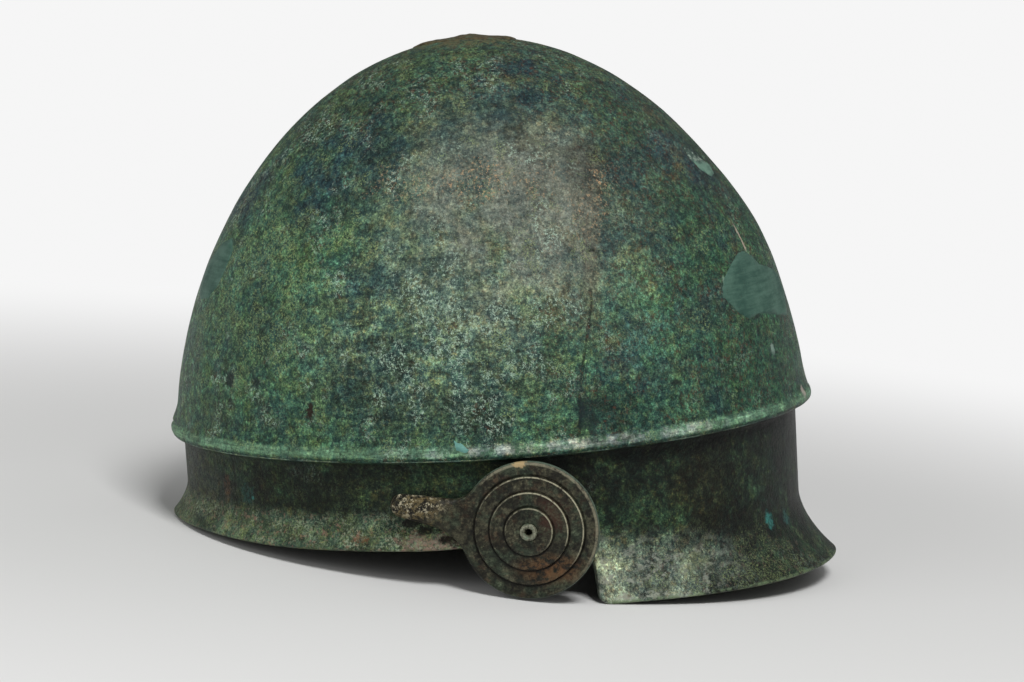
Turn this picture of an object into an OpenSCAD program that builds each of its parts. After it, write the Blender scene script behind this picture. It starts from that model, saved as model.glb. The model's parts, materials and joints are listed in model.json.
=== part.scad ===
// Bronze bell helmet with a stepped disc over each ear, as excavated.
// The front faces -Y, the wearer's left is +X and the floor is z = 0.
// The shape is drawn level, as it is worn, with the crest of the ridge at z = 0,
// and at_rest() tips it forward until it stands on its front brim and its neck guard.

/* [Dome] */
// Length of the dome at its foot, front to back
dome_len = 236.4; // [215:0.2:260]
// Width of the dome at its foot
dome_w = 198; // [180:0.5:220]
// Height of the dome above the crest of the ridge
dome_h = 139.2; // [125:0.5:160]
// Fullness of the dome seen from the side: higher is rounder at the shoulder
dome_full = 1.71; // [1.6:0.05:2.1]
// Roundness of the plan at front and back: 2 is an ellipse, less is pointed
oval_round = 1.68; // [1.5:0.05:2]
// How far the dome swells out at the back, above the ridge
back_swell = 1.9; // [0:0.1:3]
// Thickness of the bronze
wall = 1.8; // [1.4:0.1:2.6]

/* [Ridge and groove] */
// How far the ridge stands out from the foot of the dome
ridge_out = 2.1; // [1:0.1:3.5]
// Height of the ridge's rounding above its crest
ridge_up = 3.6; // [2:0.1:5]
// Height of the ridge's rounding below its crest
ridge_down = 2.4; // [1.5:0.1:3.5]
// Height above the crest at which the ridge has melted into the dome
ridge_blend = 13; // [8:0.5:20]
// How far the knob at the front stands out from the ridge
knob_out = 1.1; // [0:0.1:2]
// Depth of the groove at the front, measured from the foot of the dome
groove_front = 2.2; // [1:0.1:4]
// Depth of the groove at the back
groove_back = 4.2; // [2:0.1:6]

/* [Front brim] */
// Drop of the brim's edge below the crest of the ridge at the front
brim_drop = 31.6; // [28:0.1:34]
// Drop of the brim's edge at the sides
brim_side_drop = 33.4; // [30:0.1:36]
// Height of the lip's flare
lip_h = 11; // [6:0.5:14]
// How far the lip flares out at the front
lip_out = 5.5; // [3:0.1:8]
// How far the lip flares out at the sides
lip_side = 3.6; // [2:0.1:5]
// Thickness of the lip's edge
lip_t = 3; // [2:0.1:4]
// Drop of the edge behind the ear disc
ear_drop = 39; // [37:0.5:42]

/* [Neck guard] */
// Distance from the middle of the dome back to the guard's front edge
guard_y = 33.2; // [29:0.2:38]
// Drop of the guard's front corner below the crest of the ridge
guard_drop = 56.4; // [50:0.2:60]
// Fall of the guard's edge towards the back, in degrees
guard_fall = 3; // [0:0.5:6]
// Height of the guard's flare
guard_h = 23; // [16:0.5:28]
// How far the guard flares out at the back
guard_out = 12.7; // [8:0.1:16]
// How far the guard flares out at its front corner
guard_side = 4.3; // [1:0.1:7]
// Thickness of the guard's edge
guard_t = 2.4; // [1.8:0.1:3.5]
// Radius of the guard's front corner
guard_corner = 4; // [2:0.5:8]

/* [Ear disc] */
// Radius of the ear disc
disc_r = 24.2; // [22:0.1:24.4]
// Distance from the middle of the dome back to the disc's centre
disc_y = 10.8; // [8:0.1:14]
// Drop of the disc's centre below the crest of the ridge
disc_drop = 27.1; // [26.9:0.1:28]
// Turn of the disc's face towards the front, in degrees
disc_turn = 8; // [4:0.5:10]
// Gap between the disc's back edge and the wall in front of its centre
disc_gap = 1.2; // [0.8:0.1:2]
// Thickness of the disc's rim
rim_t = 2.4; // [1.8:0.1:3.5]
// Number of raised steps inside the rim
step_n = 3; // [1:1:4]
// Width of the rim and of each step
step_w = 5.3; // [3.5:0.1:5.5]
// Height of each step
step_h = 0.9; // [0.4:0.1:1.5]
// Length from the disc's centre to the tip of its arm
arm_len = 49; // [42:0.1:52]
// Rise of the arm above the level, in degrees
arm_rise = 13.3; // [10:0.5:15]
// Half width of the arm near its tip
arm_tip_r = 4.1; // [3:0.1:5]
// Half width of the arm where it leaves the disc
arm_root_r = 6; // [5:0.1:7]
// Thickness of the arm
arm_t = 5; // [3.5:0.1:6]

/* [Disc pin] */
// Radius of the pin's shank
pin_r = 2.2; // [1.8:0.1:3]
// Radius of the hole through the pin
pin_hole_r = 1.3; // [0.8:0.1:1.5]
// Radius of the pin's ring-shaped head
head_r = 3; // [2.8:0.1:4]
// Height of the pin's head
head_h = 1.4; // [0.8:0.1:2.5]
// Radius of the collar between the disc and the wall
collar_r = 6; // [5:0.1:8]
// Radius of the washer inside the helmet
washer_r = 5; // [4.2:0.1:6]
// Thickness of the washer at its thin side
washer_t = 0.9; // [0.6:0.1:2]
// Running gap around the pin
run_gap = 0.05; // [0.02:0.01:0.1]

/* [Lining ring] */
// Thickness of the bronze strip that held the lining
strip_t = 1; // [0.8:0.1:2]
// Height of the strip
strip_h = 8; // [6:0.5:10]
// Width of the strip's inward flange
flange_w = 7; // [5:0.5:10]
// Drop of the strip's top below the crest of the ridge
strip_drop = 8; // [7:0.5:9]
// Radius of a stitch hole
stitch_r = 1; // [0.6:0.1:1.5]
// Number of stitch holes
stitch_n = 46; // [30:2:60]

/* [Repairs and residue] */
// Width of the seam around each filled hole
seam = 0.1; // [0.05:0.05:0.3]
// Length of the residue on the crown
crust_len = 42; // [30:1:60]
// Width of the residue on the crown
crust_w = 17; // [10:1:30]
// Thickness of the residue at its highest
crust_t = 1.3; // [0.8:0.1:2.5]

/* [Hidden] */

half_len = dome_len / 2;
half_w = dome_w / 2;

// Grid of the bowl: columns run round it, rows run from the crown over the edge and back up inside.
front_cols = 32;
guard_cols = 24;
dome_rows = 20;
inner_rows = 14;
blend_rows = 4;
flare_rows = 6;

function mix(a, b, k) = a + (b - a) * k;
function ease(k) = k <= 0 ? 0 : k >= 1 ? 1 : k * k * (3 - 2 * k);
function unit(v) = v / norm(v);

// The plan is an oval with soft points. t is 0 at the front and 90 at the wearer's left.
function plan(t, a, b, round_to = oval_round) = [
    b * sign(sin(t)) * pow(abs(sin(t)), 2 / round_to),
    -a * cos(t)
];

// A point of the ridge, groove or edge: out is measured from the foot of the dome.
function ring_pt(t, out, z) = let (p = plan(t, half_len + out, half_w + out)) [p.x, p.y, z];

// How far round towards the back a column stands: 0 at the front, 1 at the back.
function backness(t) = (1 - cos(t)) / 2;

// A point of the dome: lift is 0 at the foot and 90 at the crown, and the plan grows rounder on the way.
swell_lift = 31;
swell_span = 10;
function swell_at(t, lift) = back_swell * pow(backness(t), 3) * exp(-pow((lift - swell_lift) / swell_span, 2));
function dome_pt(t, lift, inset = 0) = let (
    round_to = mix(oval_round, 2, lift / 90),
    more = swell_at(t, lift),
    p = plan(t, (half_len - inset) * cos(lift) + more, (half_w - inset) * cos(lift) + more, round_to)
) [p.x, p.y, (dome_h - inset) * pow(sin(lift), 2 / dome_full)];
function lift_at(z) = asin(pow(z / dome_h, dome_full / 2));
function dome_out(z) = half_len * (cos(lift_at(z)) - 1);

function groove_at(t) = -mix(groove_front, groove_back, backness(t));

guard_t0 = acos(-guard_y / half_len);
edge_step = 0.15;
function is_guard(t) = t > guard_t0 + edge_step / 2 && t < 360 - guard_t0 - edge_step / 2;

// The guard's front edge needs a few close columns for its rounded corner.
deg_per_mm = 1 / (half_len * PI / 180);
corner_cols = [0, 0.3, 1];
guard_span = 360 - 2 * (guard_t0 + edge_step + guard_corner * deg_per_mm);
columns = concat(
    [for (i = [0:front_cols]) -guard_t0 + 2 * guard_t0 * i / front_cols],
    [for (k = [0, 1]) guard_t0 + edge_step + corner_cols[k] * guard_corner * deg_per_mm],
    [for (i = [0:guard_cols])
        guard_t0 + edge_step + guard_corner * deg_per_mm + guard_span * i / guard_cols],
    [for (k = [1, 0]) 360 - guard_t0 - edge_step - corner_cols[k] * guard_corner * deg_per_mm]
);

// Behind the ear disc the lip flattens, so that the disc can lie close, and then the edge drops.
function past(t, from, to) = ease((-half_len * cos(t) - from) / (to - from));
function lip_fade(t) = past(t, disc_y - 1.6 * disc_r, disc_y - 0.75 * disc_r);
function ear_fall(t) = past(t, disc_y - 0.8 * disc_r, disc_y);
function corner_lift(t) = let (
    away = min(abs(t - guard_t0 - edge_step), abs(360 - guard_t0 - edge_step - t)) / deg_per_mm,
    into = max(0, guard_corner - away)
) guard_corner - sqrt(guard_corner * guard_corner - into * into);
function guard_z(y) = -guard_drop - (y - guard_y) * tan(guard_fall);

function flare_out(t) = is_guard(t)
    ? mix(guard_side, guard_out, ease((backness(t) - backness(guard_t0)) / (1 - backness(guard_t0))))
    : mix(lip_out, lip_side, ease(backness(t) * 2)) * (1 - lip_fade(t));
function flare_h(t) = is_guard(t) ? guard_h : lip_h;
function edge_t(t) = is_guard(t) ? guard_t : mix(lip_t, wall, lip_fade(t));
function edge_out(t) = groove_at(t) + flare_out(t);
function edge_z(t, inset = 0) = is_guard(t)
    ? guard_z(-(half_len + edge_out(t) - inset) * cos(t)) + corner_lift(t)
    : -mix(mix(brim_drop, brim_side_drop, ease(backness(t) * 5)), ear_drop, ear_fall(t));
flare_power = 1.7;

// The knob is a soft swelling of the ridge at the very front.
knob_span = 7;
knob_z = 4;
function knob(t, z) = let (turn = min(t > 180 ? 360 - t : abs(t), 90))
    knob_out * exp(-pow(turn / knob_span, 2)) * exp(-pow(z / knob_z - 1, 2));

// Outer section of the ridge, from the dome down to the groove.
ridge_start = 60;
ridge_top = [ridge_out * cos(ridge_start), ridge_up * sin(ridge_start)];
blend_power = 2.4;
groove_turn = 2;
groove_round = [[0.65, 0.35], [0.93, 1]];
function ridge_rows(t) = concat(
    [for (i = [1:blend_rows]) let (
        k = i / (blend_rows + 1),
        z = mix(ridge_blend, ridge_top[1], k),
        out = dome_out(z) + (ridge_top[0] - dome_out(ridge_top[1])) * pow(k, blend_power)
    ) ring_pt(t, out + knob(t, z), z)],
    [for (a = [ridge_start:-30:-90]) let (
        z = (a > 0 ? ridge_up : ridge_down) * sin(a)
    ) ring_pt(t, ridge_out * cos(a) + knob(t, z) * cos(a), z)],
    [for (g = groove_round) ring_pt(t, groove_at(t) * g[0], -ridge_down - groove_turn * g[1])]
);

// Section of the groove, the flare and the edge, and the inner wall back up to the ridge.
function flare_pt(t, k, inset) = let (
    foot = edge_z(t) + edge_t(t) / 2,
    z = foot + flare_h(t) * (1 - k)
) ring_pt(t, groove_at(t) + flare_out(t) * pow(k, flare_power) - inset, z);
// The edge's points lie in from its outermost line and up from its sole, in halves of its thickness.
edge_round = [[-0.2, 0.55], [0.2, 0], [1.9, 0]];
function edge_rows(t) = let (r = edge_t(t) / 2) [for (e = edge_round)
    ring_pt(t, edge_out(t) - e[0] * r, edge_z(t, e[0] * r) + e[1] * r)];
slant_share = 0.45;
function inner_flare(t) = [for (k = [0.85, 0.5, 0.1])
    flare_pt(t, k, wall * (1 + slant_share * k * flare_out(t) / flare_h(t)))];
inner_drop = 3;
inner_foot = ridge_blend * 0.6;
function section(t) = concat(
    [for (i = [dome_rows:-1:0]) dome_pt(t, mix(lift_at(ridge_blend), 90, i / (dome_rows + 1)))],
    ridge_rows(t),
    [for (k = [0:flare_rows]) flare_pt(t, k / flare_rows, 0)],
    edge_rows(t),
    inner_flare(t),
    [ring_pt(t, groove_at(t) - wall, -ridge_down - inner_drop)],
    [for (i = [0:inner_rows]) dome_pt(t, mix(lift_at(inner_foot), 90, i / (inner_rows + 1)), wall)]
);

sections = [for (t = columns) section(t)];
col_n = len(columns);
row_n = len(sections[0]);
crown_out = [0, 0, dome_h];
crown_in = [0, 0, dome_h - wall];

// At rest the helmet touches the floor with its front brim and the corners of its guard.
guard_foot = let (
    t = guard_t0 + edge_step + guard_corner * deg_per_mm,
    inset = edge_round[2][0] * guard_t / 2
) ring_pt(t, edge_out(t) - inset, edge_z(t, inset));
brim_feet = [for (s = sections) for (p = s) if (p.y < -half_len / 2 && p.z < -brim_drop / 2) p];
rest_tip = min([for (p = brim_feet) atan2(p.z - guard_foot.z, guard_foot.y - p.y)]);
function tipped(p) = [p.x, p.y * cos(rest_tip) - p.z * sin(rest_tip), p.y * sin(rest_tip) + p.z * cos(rest_tip)];
tipped_pts = [for (s = sections) for (p = s) tipped(p)];
rest_y = -(min([for (p = tipped_pts) p.y]) + max([for (p = tipped_pts) p.y])) / 2;
rest_z = -min([for (p = tipped_pts) p.z]);

module at_rest() {
    translate([0, rest_y, rest_z]) rotate([rest_tip, 0, 0]) children();
}

// One closed shell from the sections: the crown's two points close it outside and inside.
module bronze_shell() {
    points = concat([for (s = sections) each s], [crown_out, crown_in]);
    top = col_n * row_n;
    faces = [
        for (c = [0:col_n - 1]) let (d = (c + 1) % col_n) each concat(
            [[top, d * row_n, c * row_n]],
            [for (r = [0:row_n - 2]) each [
                [c * row_n + r, d * row_n + r, d * row_n + r + 1],
                [c * row_n + r, d * row_n + r + 1, c * row_n + r + 1]
            ]],
            [[top + 1, c * row_n + row_n - 1, d * row_n + row_n - 1]]
        )
    ];
    polyhedron(points = points, faces = faces, convexity = 6);
}

// The tangent frame of a spot on the dome: local x runs towards the wearer's right, seen from the back.
module at_spot(t, lift) {
    spot = dome_pt(t, lift);
    out = unit(cross(dome_pt(t + 0.5, lift) - dome_pt(t - 0.5, lift), dome_pt(t, lift + 0.5) - dome_pt(t, lift - 0.5)));
    side = unit(cross([0, 0, 1], out));
    up = cross(out, side);
    multmatrix([
        [side.x, up.x, out.x, spot.x],
        [side.y, up.y, out.y, spot.y],
        [side.z, up.z, out.z, spot.z],
        [0, 0, 0, 1]
    ]) children();
}

// Outlines of the filled holes, in millimetres in the tangent frame.
back_hole = [[0, 12], [6, 9.5], [9, 6], [24, 3], [31, 0], [33, -6], [26, -15], [6, -12.5], [-3, -11],
    [-9, -12], [-14, -9.5], [-18, -5.5], [-21, -2], [-20.5, 1.5], [-18, 4.5], [-9, 10], [-4, 12]];
upper_hole = [[-4.5, 7.5], [-1, 5.5], [3, 1.5], [7.5, -2], [5, -6], [-0.5, -6.5], [-5.5, -2], [-7, 3.5]];
front_hole = [[6.5, 12], [-3, 9], [-11, 3], [-20, -2], [-16, -9], [-7, -13], [3, -11.5], [9, -6],
    [11, 1], [11.5, 8]];
ridge_hole = [[-2.2, -1], [0, -2], [2.7, -4.3], [1.8, -5.4], [-1.4, -4.4]];
through = 30;
chip_depth = 3.2;

module hole_prism(t, lift, outline, depth, shrink) {
    at_spot(t, lift) translate([0, 0, -depth]) linear_extrude(depth + through / 2)
        offset(delta = -shrink) polygon(outline);
}
module back_prism(shrink = 0) { hole_prism(152.5, 23, back_hole, through / 2, shrink); }
module upper_prism(shrink = 0) { hole_prism(161, 43.5, upper_hole, through / 2, shrink); }
module front_prism(shrink = 0) { hole_prism(16.5, 30, front_hole, through / 2, shrink); }
module ridge_prism(shrink = 0) { hole_prism(84.5, 4, ridge_hole, chip_depth - shrink, shrink); }

// The ear disc's frame: local z leaves the helmet, local x runs to the back, and z = 0 is the disc's back face.
function t_at(y, a) = acos(-y / a);
function wall_pt(y) = let (t = t_at(y, half_len)) plan(t, half_len + groove_at(t), half_w + groove_at(t));
disc_front_y = disc_y - disc_r * cos(disc_turn);
disc_x = wall_pt(disc_front_y).x + disc_gap + disc_r * sin(disc_turn);
wall_way = wall_pt(disc_y + 1) - wall_pt(disc_y - 1);
wall_turn = atan2(-wall_way.x, wall_way.y);
seat_tilt = disc_turn + wall_turn;
stand = (disc_x - wall_pt(disc_y).x) / (cos(disc_turn) - sin(disc_turn) * tan(wall_turn));
seat_gap = 0.35;

module at_left_ear() {
    at_rest() translate([disc_x, disc_y, -disc_drop]) rotate([90, 0, 90 - disc_turn]) children();
}
module at_right_ear() mirror([1, 0, 0]) at_left_ear() children();

// Everything further in than a plane that lies parallel to the wall, depth inside its outer face.
module behind_wall(depth) {
    translate([0, 0, -stand]) rotate([0, seat_tilt, 0])
        translate([-disc_r, -disc_r, -2 * disc_r - depth]) cube(2 * disc_r);
}

step_top = rim_t + step_n * step_h;
rim_round = 0.5;
disc_section = concat(
    [[0, 0], [disc_r, 0], [disc_r, rim_t - rim_round], [disc_r - rim_round, rim_t]],
    [for (i = [1:step_n]) each [
        [disc_r - i * step_w + step_h / 3, rim_t + (i - 1) * step_h],
        [disc_r - i * step_w, rim_t + i * step_h]
    ]],
    [[0, step_top]]
);

// The arm narrows towards its tip. A fillet on each side runs its edge into the round of the disc.
arm_taper = (arm_root_r - arm_tip_r) / (arm_len - arm_tip_r - disc_r);
arm_slant = sqrt(1 + arm_taper * arm_taper);
upper_fillet = 9;
lower_fillet = 16;
module arm_fillet(r, side) {
    g = arm_root_r + arm_taper * disc_r + r * arm_slant;
    cx = (g * arm_taper + sqrt(g * g * arm_taper * arm_taper
        - arm_slant * arm_slant * (g * g - (disc_r + r) * (disc_r + r)))) / (arm_slant * arm_slant);
    c = [cx, side * (g - arm_taper * cx)];
    foot = c - [arm_taper, side] * r / arm_slant;
    linear_extrude(rim_t) difference() {
        polygon([[0, 0], [foot.x, 0], foot, c, c * disc_r / (disc_r + r)]);
        translate(c) circle(r, $fn = 96);
    }
}
module pebble(x, r, thick) {
    translate([x, 0, thick / 2]) scale([r, r, thick / 2]) sphere(1, $fn = 28);
}
module arm() {
    rotate(180 - arm_rise) {
        intersection() {
            hull() {
                pebble(disc_r * 0.8, arm_root_r * 1.02, rim_t);
                pebble(arm_len - arm_tip_r, arm_tip_r, arm_t);
                pebble(arm_len - arm_tip_r * 2.6, arm_tip_r * 1.12, arm_t * 1.04);
            }
            translate([0, -disc_r, 0]) cube([arm_len + 1, 2 * disc_r, 2 * arm_t]);
        }
        arm_fillet(upper_fillet, -1);
        arm_fillet(lower_fillet, 1);
    }
}
module ear_disc() {
    difference() {
        union() {
            rotate_extrude($fn = 96) polygon(disc_section);
            arm();
        }
        translate([0, 0, -1]) cylinder(r = pin_r + run_gap, h = step_top + 2, $fn = 48);
    }
}

// The pin is a tube: a ring-shaped head outside, and a tail spread over the washer inside.
tail_r = pin_r + 1.2;
tail_h = 1.2;
tail_depth = wall + 2 * seat_gap + washer_t;
pin_end = stand + (tail_depth + tail_h) / cos(seat_tilt) + tail_r * tan(seat_tilt);
module disc_pin() {
    head_z = step_top + run_gap;
    difference() {
        union() {
            translate([0, 0, -pin_end]) cylinder(r = pin_r, h = pin_end + head_z, $fn = 48);
            rotate_extrude($fn = 48) polygon([
                [0, head_z], [head_r, head_z], [head_r, head_z + head_h * 0.6],
                [head_r - head_h * 0.4, head_z + head_h], [0, head_z + head_h]
            ]);
            intersection() {
                translate([0, 0, -pin_end]) cylinder(r = tail_r, h = pin_end - stand, $fn = 48);
                behind_wall(tail_depth);
            }
        }
        translate([0, 0, -pin_end - 1]) cylinder(r = pin_hole_r, h = pin_end + head_z + head_h + 2, $fn = 32);
    }
}
module pin_collar() {
    difference() {
        translate([0, 0, -stand - collar_r]) cylinder(r = collar_r, h = stand + collar_r - run_gap, $fn = 48);
        translate([0, 0, -stand - collar_r - 1]) cylinder(r = pin_r + run_gap, h = stand + collar_r + 2, $fn = 48);
        behind_wall(-run_gap);
    }
}
module pin_washer() {
    difference() {
        translate([0, 0, -stand]) rotate([0, seat_tilt, 0])
            translate([0, 0, -wall - seat_gap - washer_t]) cylinder(r = washer_r, h = washer_t, $fn = 48);
        translate([0, 0, -pin_end]) cylinder(r = pin_r + run_gap, h = pin_end, $fn = 48);
    }
}
module pin_hole() {
    translate([0, 0, -pin_end]) cylinder(r = pin_r + run_gap, h = pin_end, $fn = 48);
}

// The strip lies in the groove's inner side, and its flange carries the stitch holes.
strip_gap = 0.3;
function strip_loop(inset) = [for (t = columns) let (
    out = groove_at(t) - wall - strip_gap - inset
) plan(t, half_len + out, half_w + out)];
module strip_ring(inset, width, h) {
    linear_extrude(h) difference() {
        polygon(strip_loop(inset));
        polygon(strip_loop(inset + width));
    }
}
module lining_ring_level() {
    translate([0, 0, -strip_drop - strip_h]) difference() {
        union() {
            strip_ring(0, strip_t, strip_h);
            strip_ring(0, strip_t + flange_w, strip_t);
        }
        for (i = [0:stitch_n - 1]) {
            t = 360 * (i + 0.5) / stitch_n;
            out = groove_at(t) - wall - strip_gap - strip_t - flange_w / 2;
            translate(concat(plan(t, half_len + out, half_w + out), [-strip_t]))
                cylinder(r = stitch_r, h = 3 * strip_t, $fn = 24);
        }
    }
}

// Residue on the crown: a low crust with two soft bumps, lying on the dome.
crust_y = -2.5;
bump_gap = 14;
bump_y = -8.2;
crust_rings = 6;
crust_sides = 28;
function crown_z(x, y) = let (m = norm([x / half_w, y / half_len])) dome_h * pow(1 - m * m, 1 / dome_full);
function crust_pt(ring, side, top) = let (
    k = ring / crust_rings,
    ragged = 1 + 0.12 * sin(3 * side * 360 / crust_sides) + 0.06 * sin(7 * side * 360 / crust_sides),
    x = crust_w / 2 * k * ragged * cos(side * 360 / crust_sides),
    y = crust_y + crust_len / 2 * k * ragged * sin(side * 360 / crust_sides),
    swell = sqrt(1 - k * k) * (0.7 + 0.3 * cos(360 * (y - bump_y) / bump_gap)) + 0.25
) [x, y, crown_z(x, y) + (top ? crust_t * swell * 0.8 : run_gap)];
module crust() {
    loop = crust_rings * crust_sides;
    points = concat(
        [for (top = [true, false]) each concat(
            [crust_pt(0, 0, top)],
            [for (r = [1:crust_rings]) for (i = [0:crust_sides - 1]) crust_pt(r, i, top)]
        )]
    );
    under = loop + 1;
    faces = [for (i = [0:crust_sides - 1]) let (j = (i + 1) % crust_sides) each concat(
        [[0, 1 + j, 1 + i], [under, under + 1 + i, under + 1 + j]],
        [for (r = [0:crust_rings - 2]) let (a = 1 + r * crust_sides, b = a + crust_sides) each [
            [a + i, a + j, b + j], [a + i, b + j, b + i],
            [under + a + i, under + b + j, under + a + j], [under + a + i, under + b + i, under + b + j]
        ]],
        let (e = 1 + loop - crust_sides) [
            [e + i, e + j, under + e + j], [e + i, under + e + j, under + e + i]
        ]
    )];
    polyhedron(points = points, faces = faces, convexity = 4);
}

module helmet_bowl() color([0.24, 0.34, 0.28]) difference() {
    at_rest() bronze_shell();
    at_rest() {
        back_prism();
        upper_prism();
        front_prism();
        ridge_prism();
    }
    at_left_ear() pin_hole();
    at_right_ear() pin_hole();
}
module lining_ring() color([0.30, 0.27, 0.18]) at_rest() lining_ring_level();
module crown_residue() color([0.33, 0.22, 0.16]) at_rest() crust();
module back_fill() color([0.38, 0.50, 0.44]) at_rest() intersection() {
    bronze_shell();
    back_prism(seam);
}
module upper_back_fill() color([0.38, 0.50, 0.44]) at_rest() intersection() {
    bronze_shell();
    upper_prism(seam);
}
module front_fill() color([0.34, 0.45, 0.38]) at_rest() intersection() {
    bronze_shell();
    front_prism(seam);
}
module ridge_fill() color([0.50, 0.68, 0.64]) at_rest() intersection() {
    bronze_shell();
    ridge_prism(seam);
}
module left_ear_disc() color([0.25, 0.23, 0.19]) at_left_ear() ear_disc();
module left_disc_pin() color([0.31, 0.29, 0.24]) at_left_ear() disc_pin();
module left_pin_collar() color([0.22, 0.25, 0.20]) at_left_ear() pin_collar();
module left_pin_washer() color([0.22, 0.25, 0.20]) at_left_ear() pin_washer();
module right_ear_disc() color([0.25, 0.23, 0.19]) at_right_ear() ear_disc();
module right_disc_pin() color([0.31, 0.29, 0.24]) at_right_ear() disc_pin();
module right_pin_collar() color([0.22, 0.25, 0.20]) at_right_ear() pin_collar();
module right_pin_washer() color([0.22, 0.25, 0.20]) at_right_ear() pin_washer();

helmet_bowl();
lining_ring();
crown_residue();
back_fill();
upper_back_fill();
front_fill();
ridge_fill();
left_ear_disc();
left_disc_pin();
left_pin_collar();
left_pin_washer();
right_ear_disc();
right_disc_pin();
right_pin_collar();
right_pin_washer();
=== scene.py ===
# %% [markdown]
# A bronze helmet that was dug up and restored.
# The real one was made about 2500 years ago, as one shell of bronze: a high dome, a rounded ridge, a
# recessed band, a flared brim and a deeper neck guard. Over each ear a cast disc turns on a hollow rivet.
# This lesson dresses the measured model: the joints and sizes come from it, and here the surfaces are
# modelled finely and get their finishes.
# %% Load the measured model
import json
import math

import bmesh
import bpy
from mathutils import Matrix, Vector, kdtree, noise


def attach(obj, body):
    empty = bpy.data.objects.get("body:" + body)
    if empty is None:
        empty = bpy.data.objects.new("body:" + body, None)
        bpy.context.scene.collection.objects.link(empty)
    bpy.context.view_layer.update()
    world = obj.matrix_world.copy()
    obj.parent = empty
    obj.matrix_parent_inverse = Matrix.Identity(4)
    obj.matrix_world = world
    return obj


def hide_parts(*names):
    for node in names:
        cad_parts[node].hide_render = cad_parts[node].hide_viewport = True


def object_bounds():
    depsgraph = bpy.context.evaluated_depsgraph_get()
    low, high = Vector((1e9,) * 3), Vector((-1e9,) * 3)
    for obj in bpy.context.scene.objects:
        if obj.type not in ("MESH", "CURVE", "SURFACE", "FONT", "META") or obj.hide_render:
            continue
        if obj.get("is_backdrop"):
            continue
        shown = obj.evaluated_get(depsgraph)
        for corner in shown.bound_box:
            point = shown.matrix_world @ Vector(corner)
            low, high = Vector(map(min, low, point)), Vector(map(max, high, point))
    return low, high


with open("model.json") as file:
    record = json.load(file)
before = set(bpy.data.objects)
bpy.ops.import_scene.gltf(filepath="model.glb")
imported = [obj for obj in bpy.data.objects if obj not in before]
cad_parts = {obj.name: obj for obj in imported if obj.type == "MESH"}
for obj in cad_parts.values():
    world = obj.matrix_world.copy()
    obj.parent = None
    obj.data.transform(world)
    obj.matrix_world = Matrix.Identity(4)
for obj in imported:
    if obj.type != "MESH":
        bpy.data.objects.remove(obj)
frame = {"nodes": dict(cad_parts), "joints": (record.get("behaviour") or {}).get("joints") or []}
cad_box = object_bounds()
print("nodes:", sorted(frame["nodes"]))

# %% [markdown]
# The helmet was drawn level, as it is worn, in millimetres, with the crest of the ridge at z = 0. It is
# stored standing: tipped forward on its brim and the corners of its neck guard. The hinge of the left disc
# tells both the tip and the place, because its spot on the level helmet is known. One matrix then takes a
# level point in millimetres to the standing helmet in metres. All pieces below are shaped level, or in the
# frame of a disc, and are stood up with it.
# %% Stand the level helmet up
MM = 0.001
DISC_Y = 10.8
DISC_DROP = 27.1
DISC_TURN = 8
left_hinge = next(joint for joint in frame["joints"] if joint["name"] == "left_disc_turn")
hinge_at = Vector(left_hinge["pos_m"])
hinge_way = Vector(left_hinge["axis"])
TIP = math.atan2(-hinge_way.z, -hinge_way.y)
tipped = Matrix.Rotation(TIP, 4, "X")
moved = hinge_at - tipped @ Vector((0, DISC_Y * MM, -DISC_DROP * MM))
REST_PLACE = Vector((0, moved.y, moved.z))
STANDING = Matrix.Translation(REST_PLACE) @ tipped @ Matrix.Scale(MM, 4)
print(f"tipped {math.degrees(TIP):.2f} degrees, ridge {REST_PLACE.z * 1000:.1f} mm above the floor")

# %% [markdown]
# The photograph looks at the wearer's left side from a little above, with the camera rolled slightly. Its
# lens follows from the scale in the picture, so the render has the photograph's framing.
# %% Set up the camera
PHOTO_W, PHOTO_H = 1024, 682
CAMERA_AWAY = 1150
CAMERA_RISE = math.radians(8.9)
CAMERA_ROLL = math.radians(3.4)
PX_PER_MM = 2.66
AIM_PX = (491.8, 409.0)
SENSOR_W = 36

towards = Vector((math.cos(CAMERA_RISE), 0, math.sin(CAMERA_RISE)))
level_right = Vector((0, 1, 0))
level_up = towards.cross(level_right)
right = math.cos(CAMERA_ROLL) * level_right - math.sin(CAMERA_ROLL) * level_up
up = math.sin(CAMERA_ROLL) * level_right + math.cos(CAMERA_ROLL) * level_up
turned = tipped.to_3x3() @ Matrix((right, up, towards)).transposed()
camera_data = bpy.data.cameras.new("camera")
camera_data.sensor_width = SENSOR_W
camera_data.lens = SENSOR_W * PX_PER_MM * CAMERA_AWAY / PHOTO_W
camera_data.shift_x = (PHOTO_W / 2 - AIM_PX[0]) / PHOTO_W
camera_data.shift_y = (AIM_PX[1] - PHOTO_H / 2) / PHOTO_W
camera = bpy.data.objects.new("camera", camera_data)
camera.matrix_world = Matrix.Translation(STANDING @ (towards * CAMERA_AWAY)) @ turned.to_4x4()
bpy.context.scene.collection.objects.link(camera)
bpy.context.scene.camera = camera
print(f"lens {camera_data.lens:.1f} mm")

# %% [markdown]
# Small helpers. A chain of points is spun round the z axis, as a turner cuts a bowl. A piece is built in a
# bmesh, its mesh is put in its place, and edges sharper than a given angle stay crisp while all others are
# shaded smooth.
# %% Helpers for pieces
MERGE = 1e-5


def sin(degrees):
    return math.sin(math.radians(degrees))


def cos(degrees):
    return math.cos(math.radians(degrees))


def mix(a, b, k):
    return a + (b - a) * k


def ease(k):
    k = min(max(k, 0), 1)
    return k * k * (3 - 2 * k)


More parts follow.
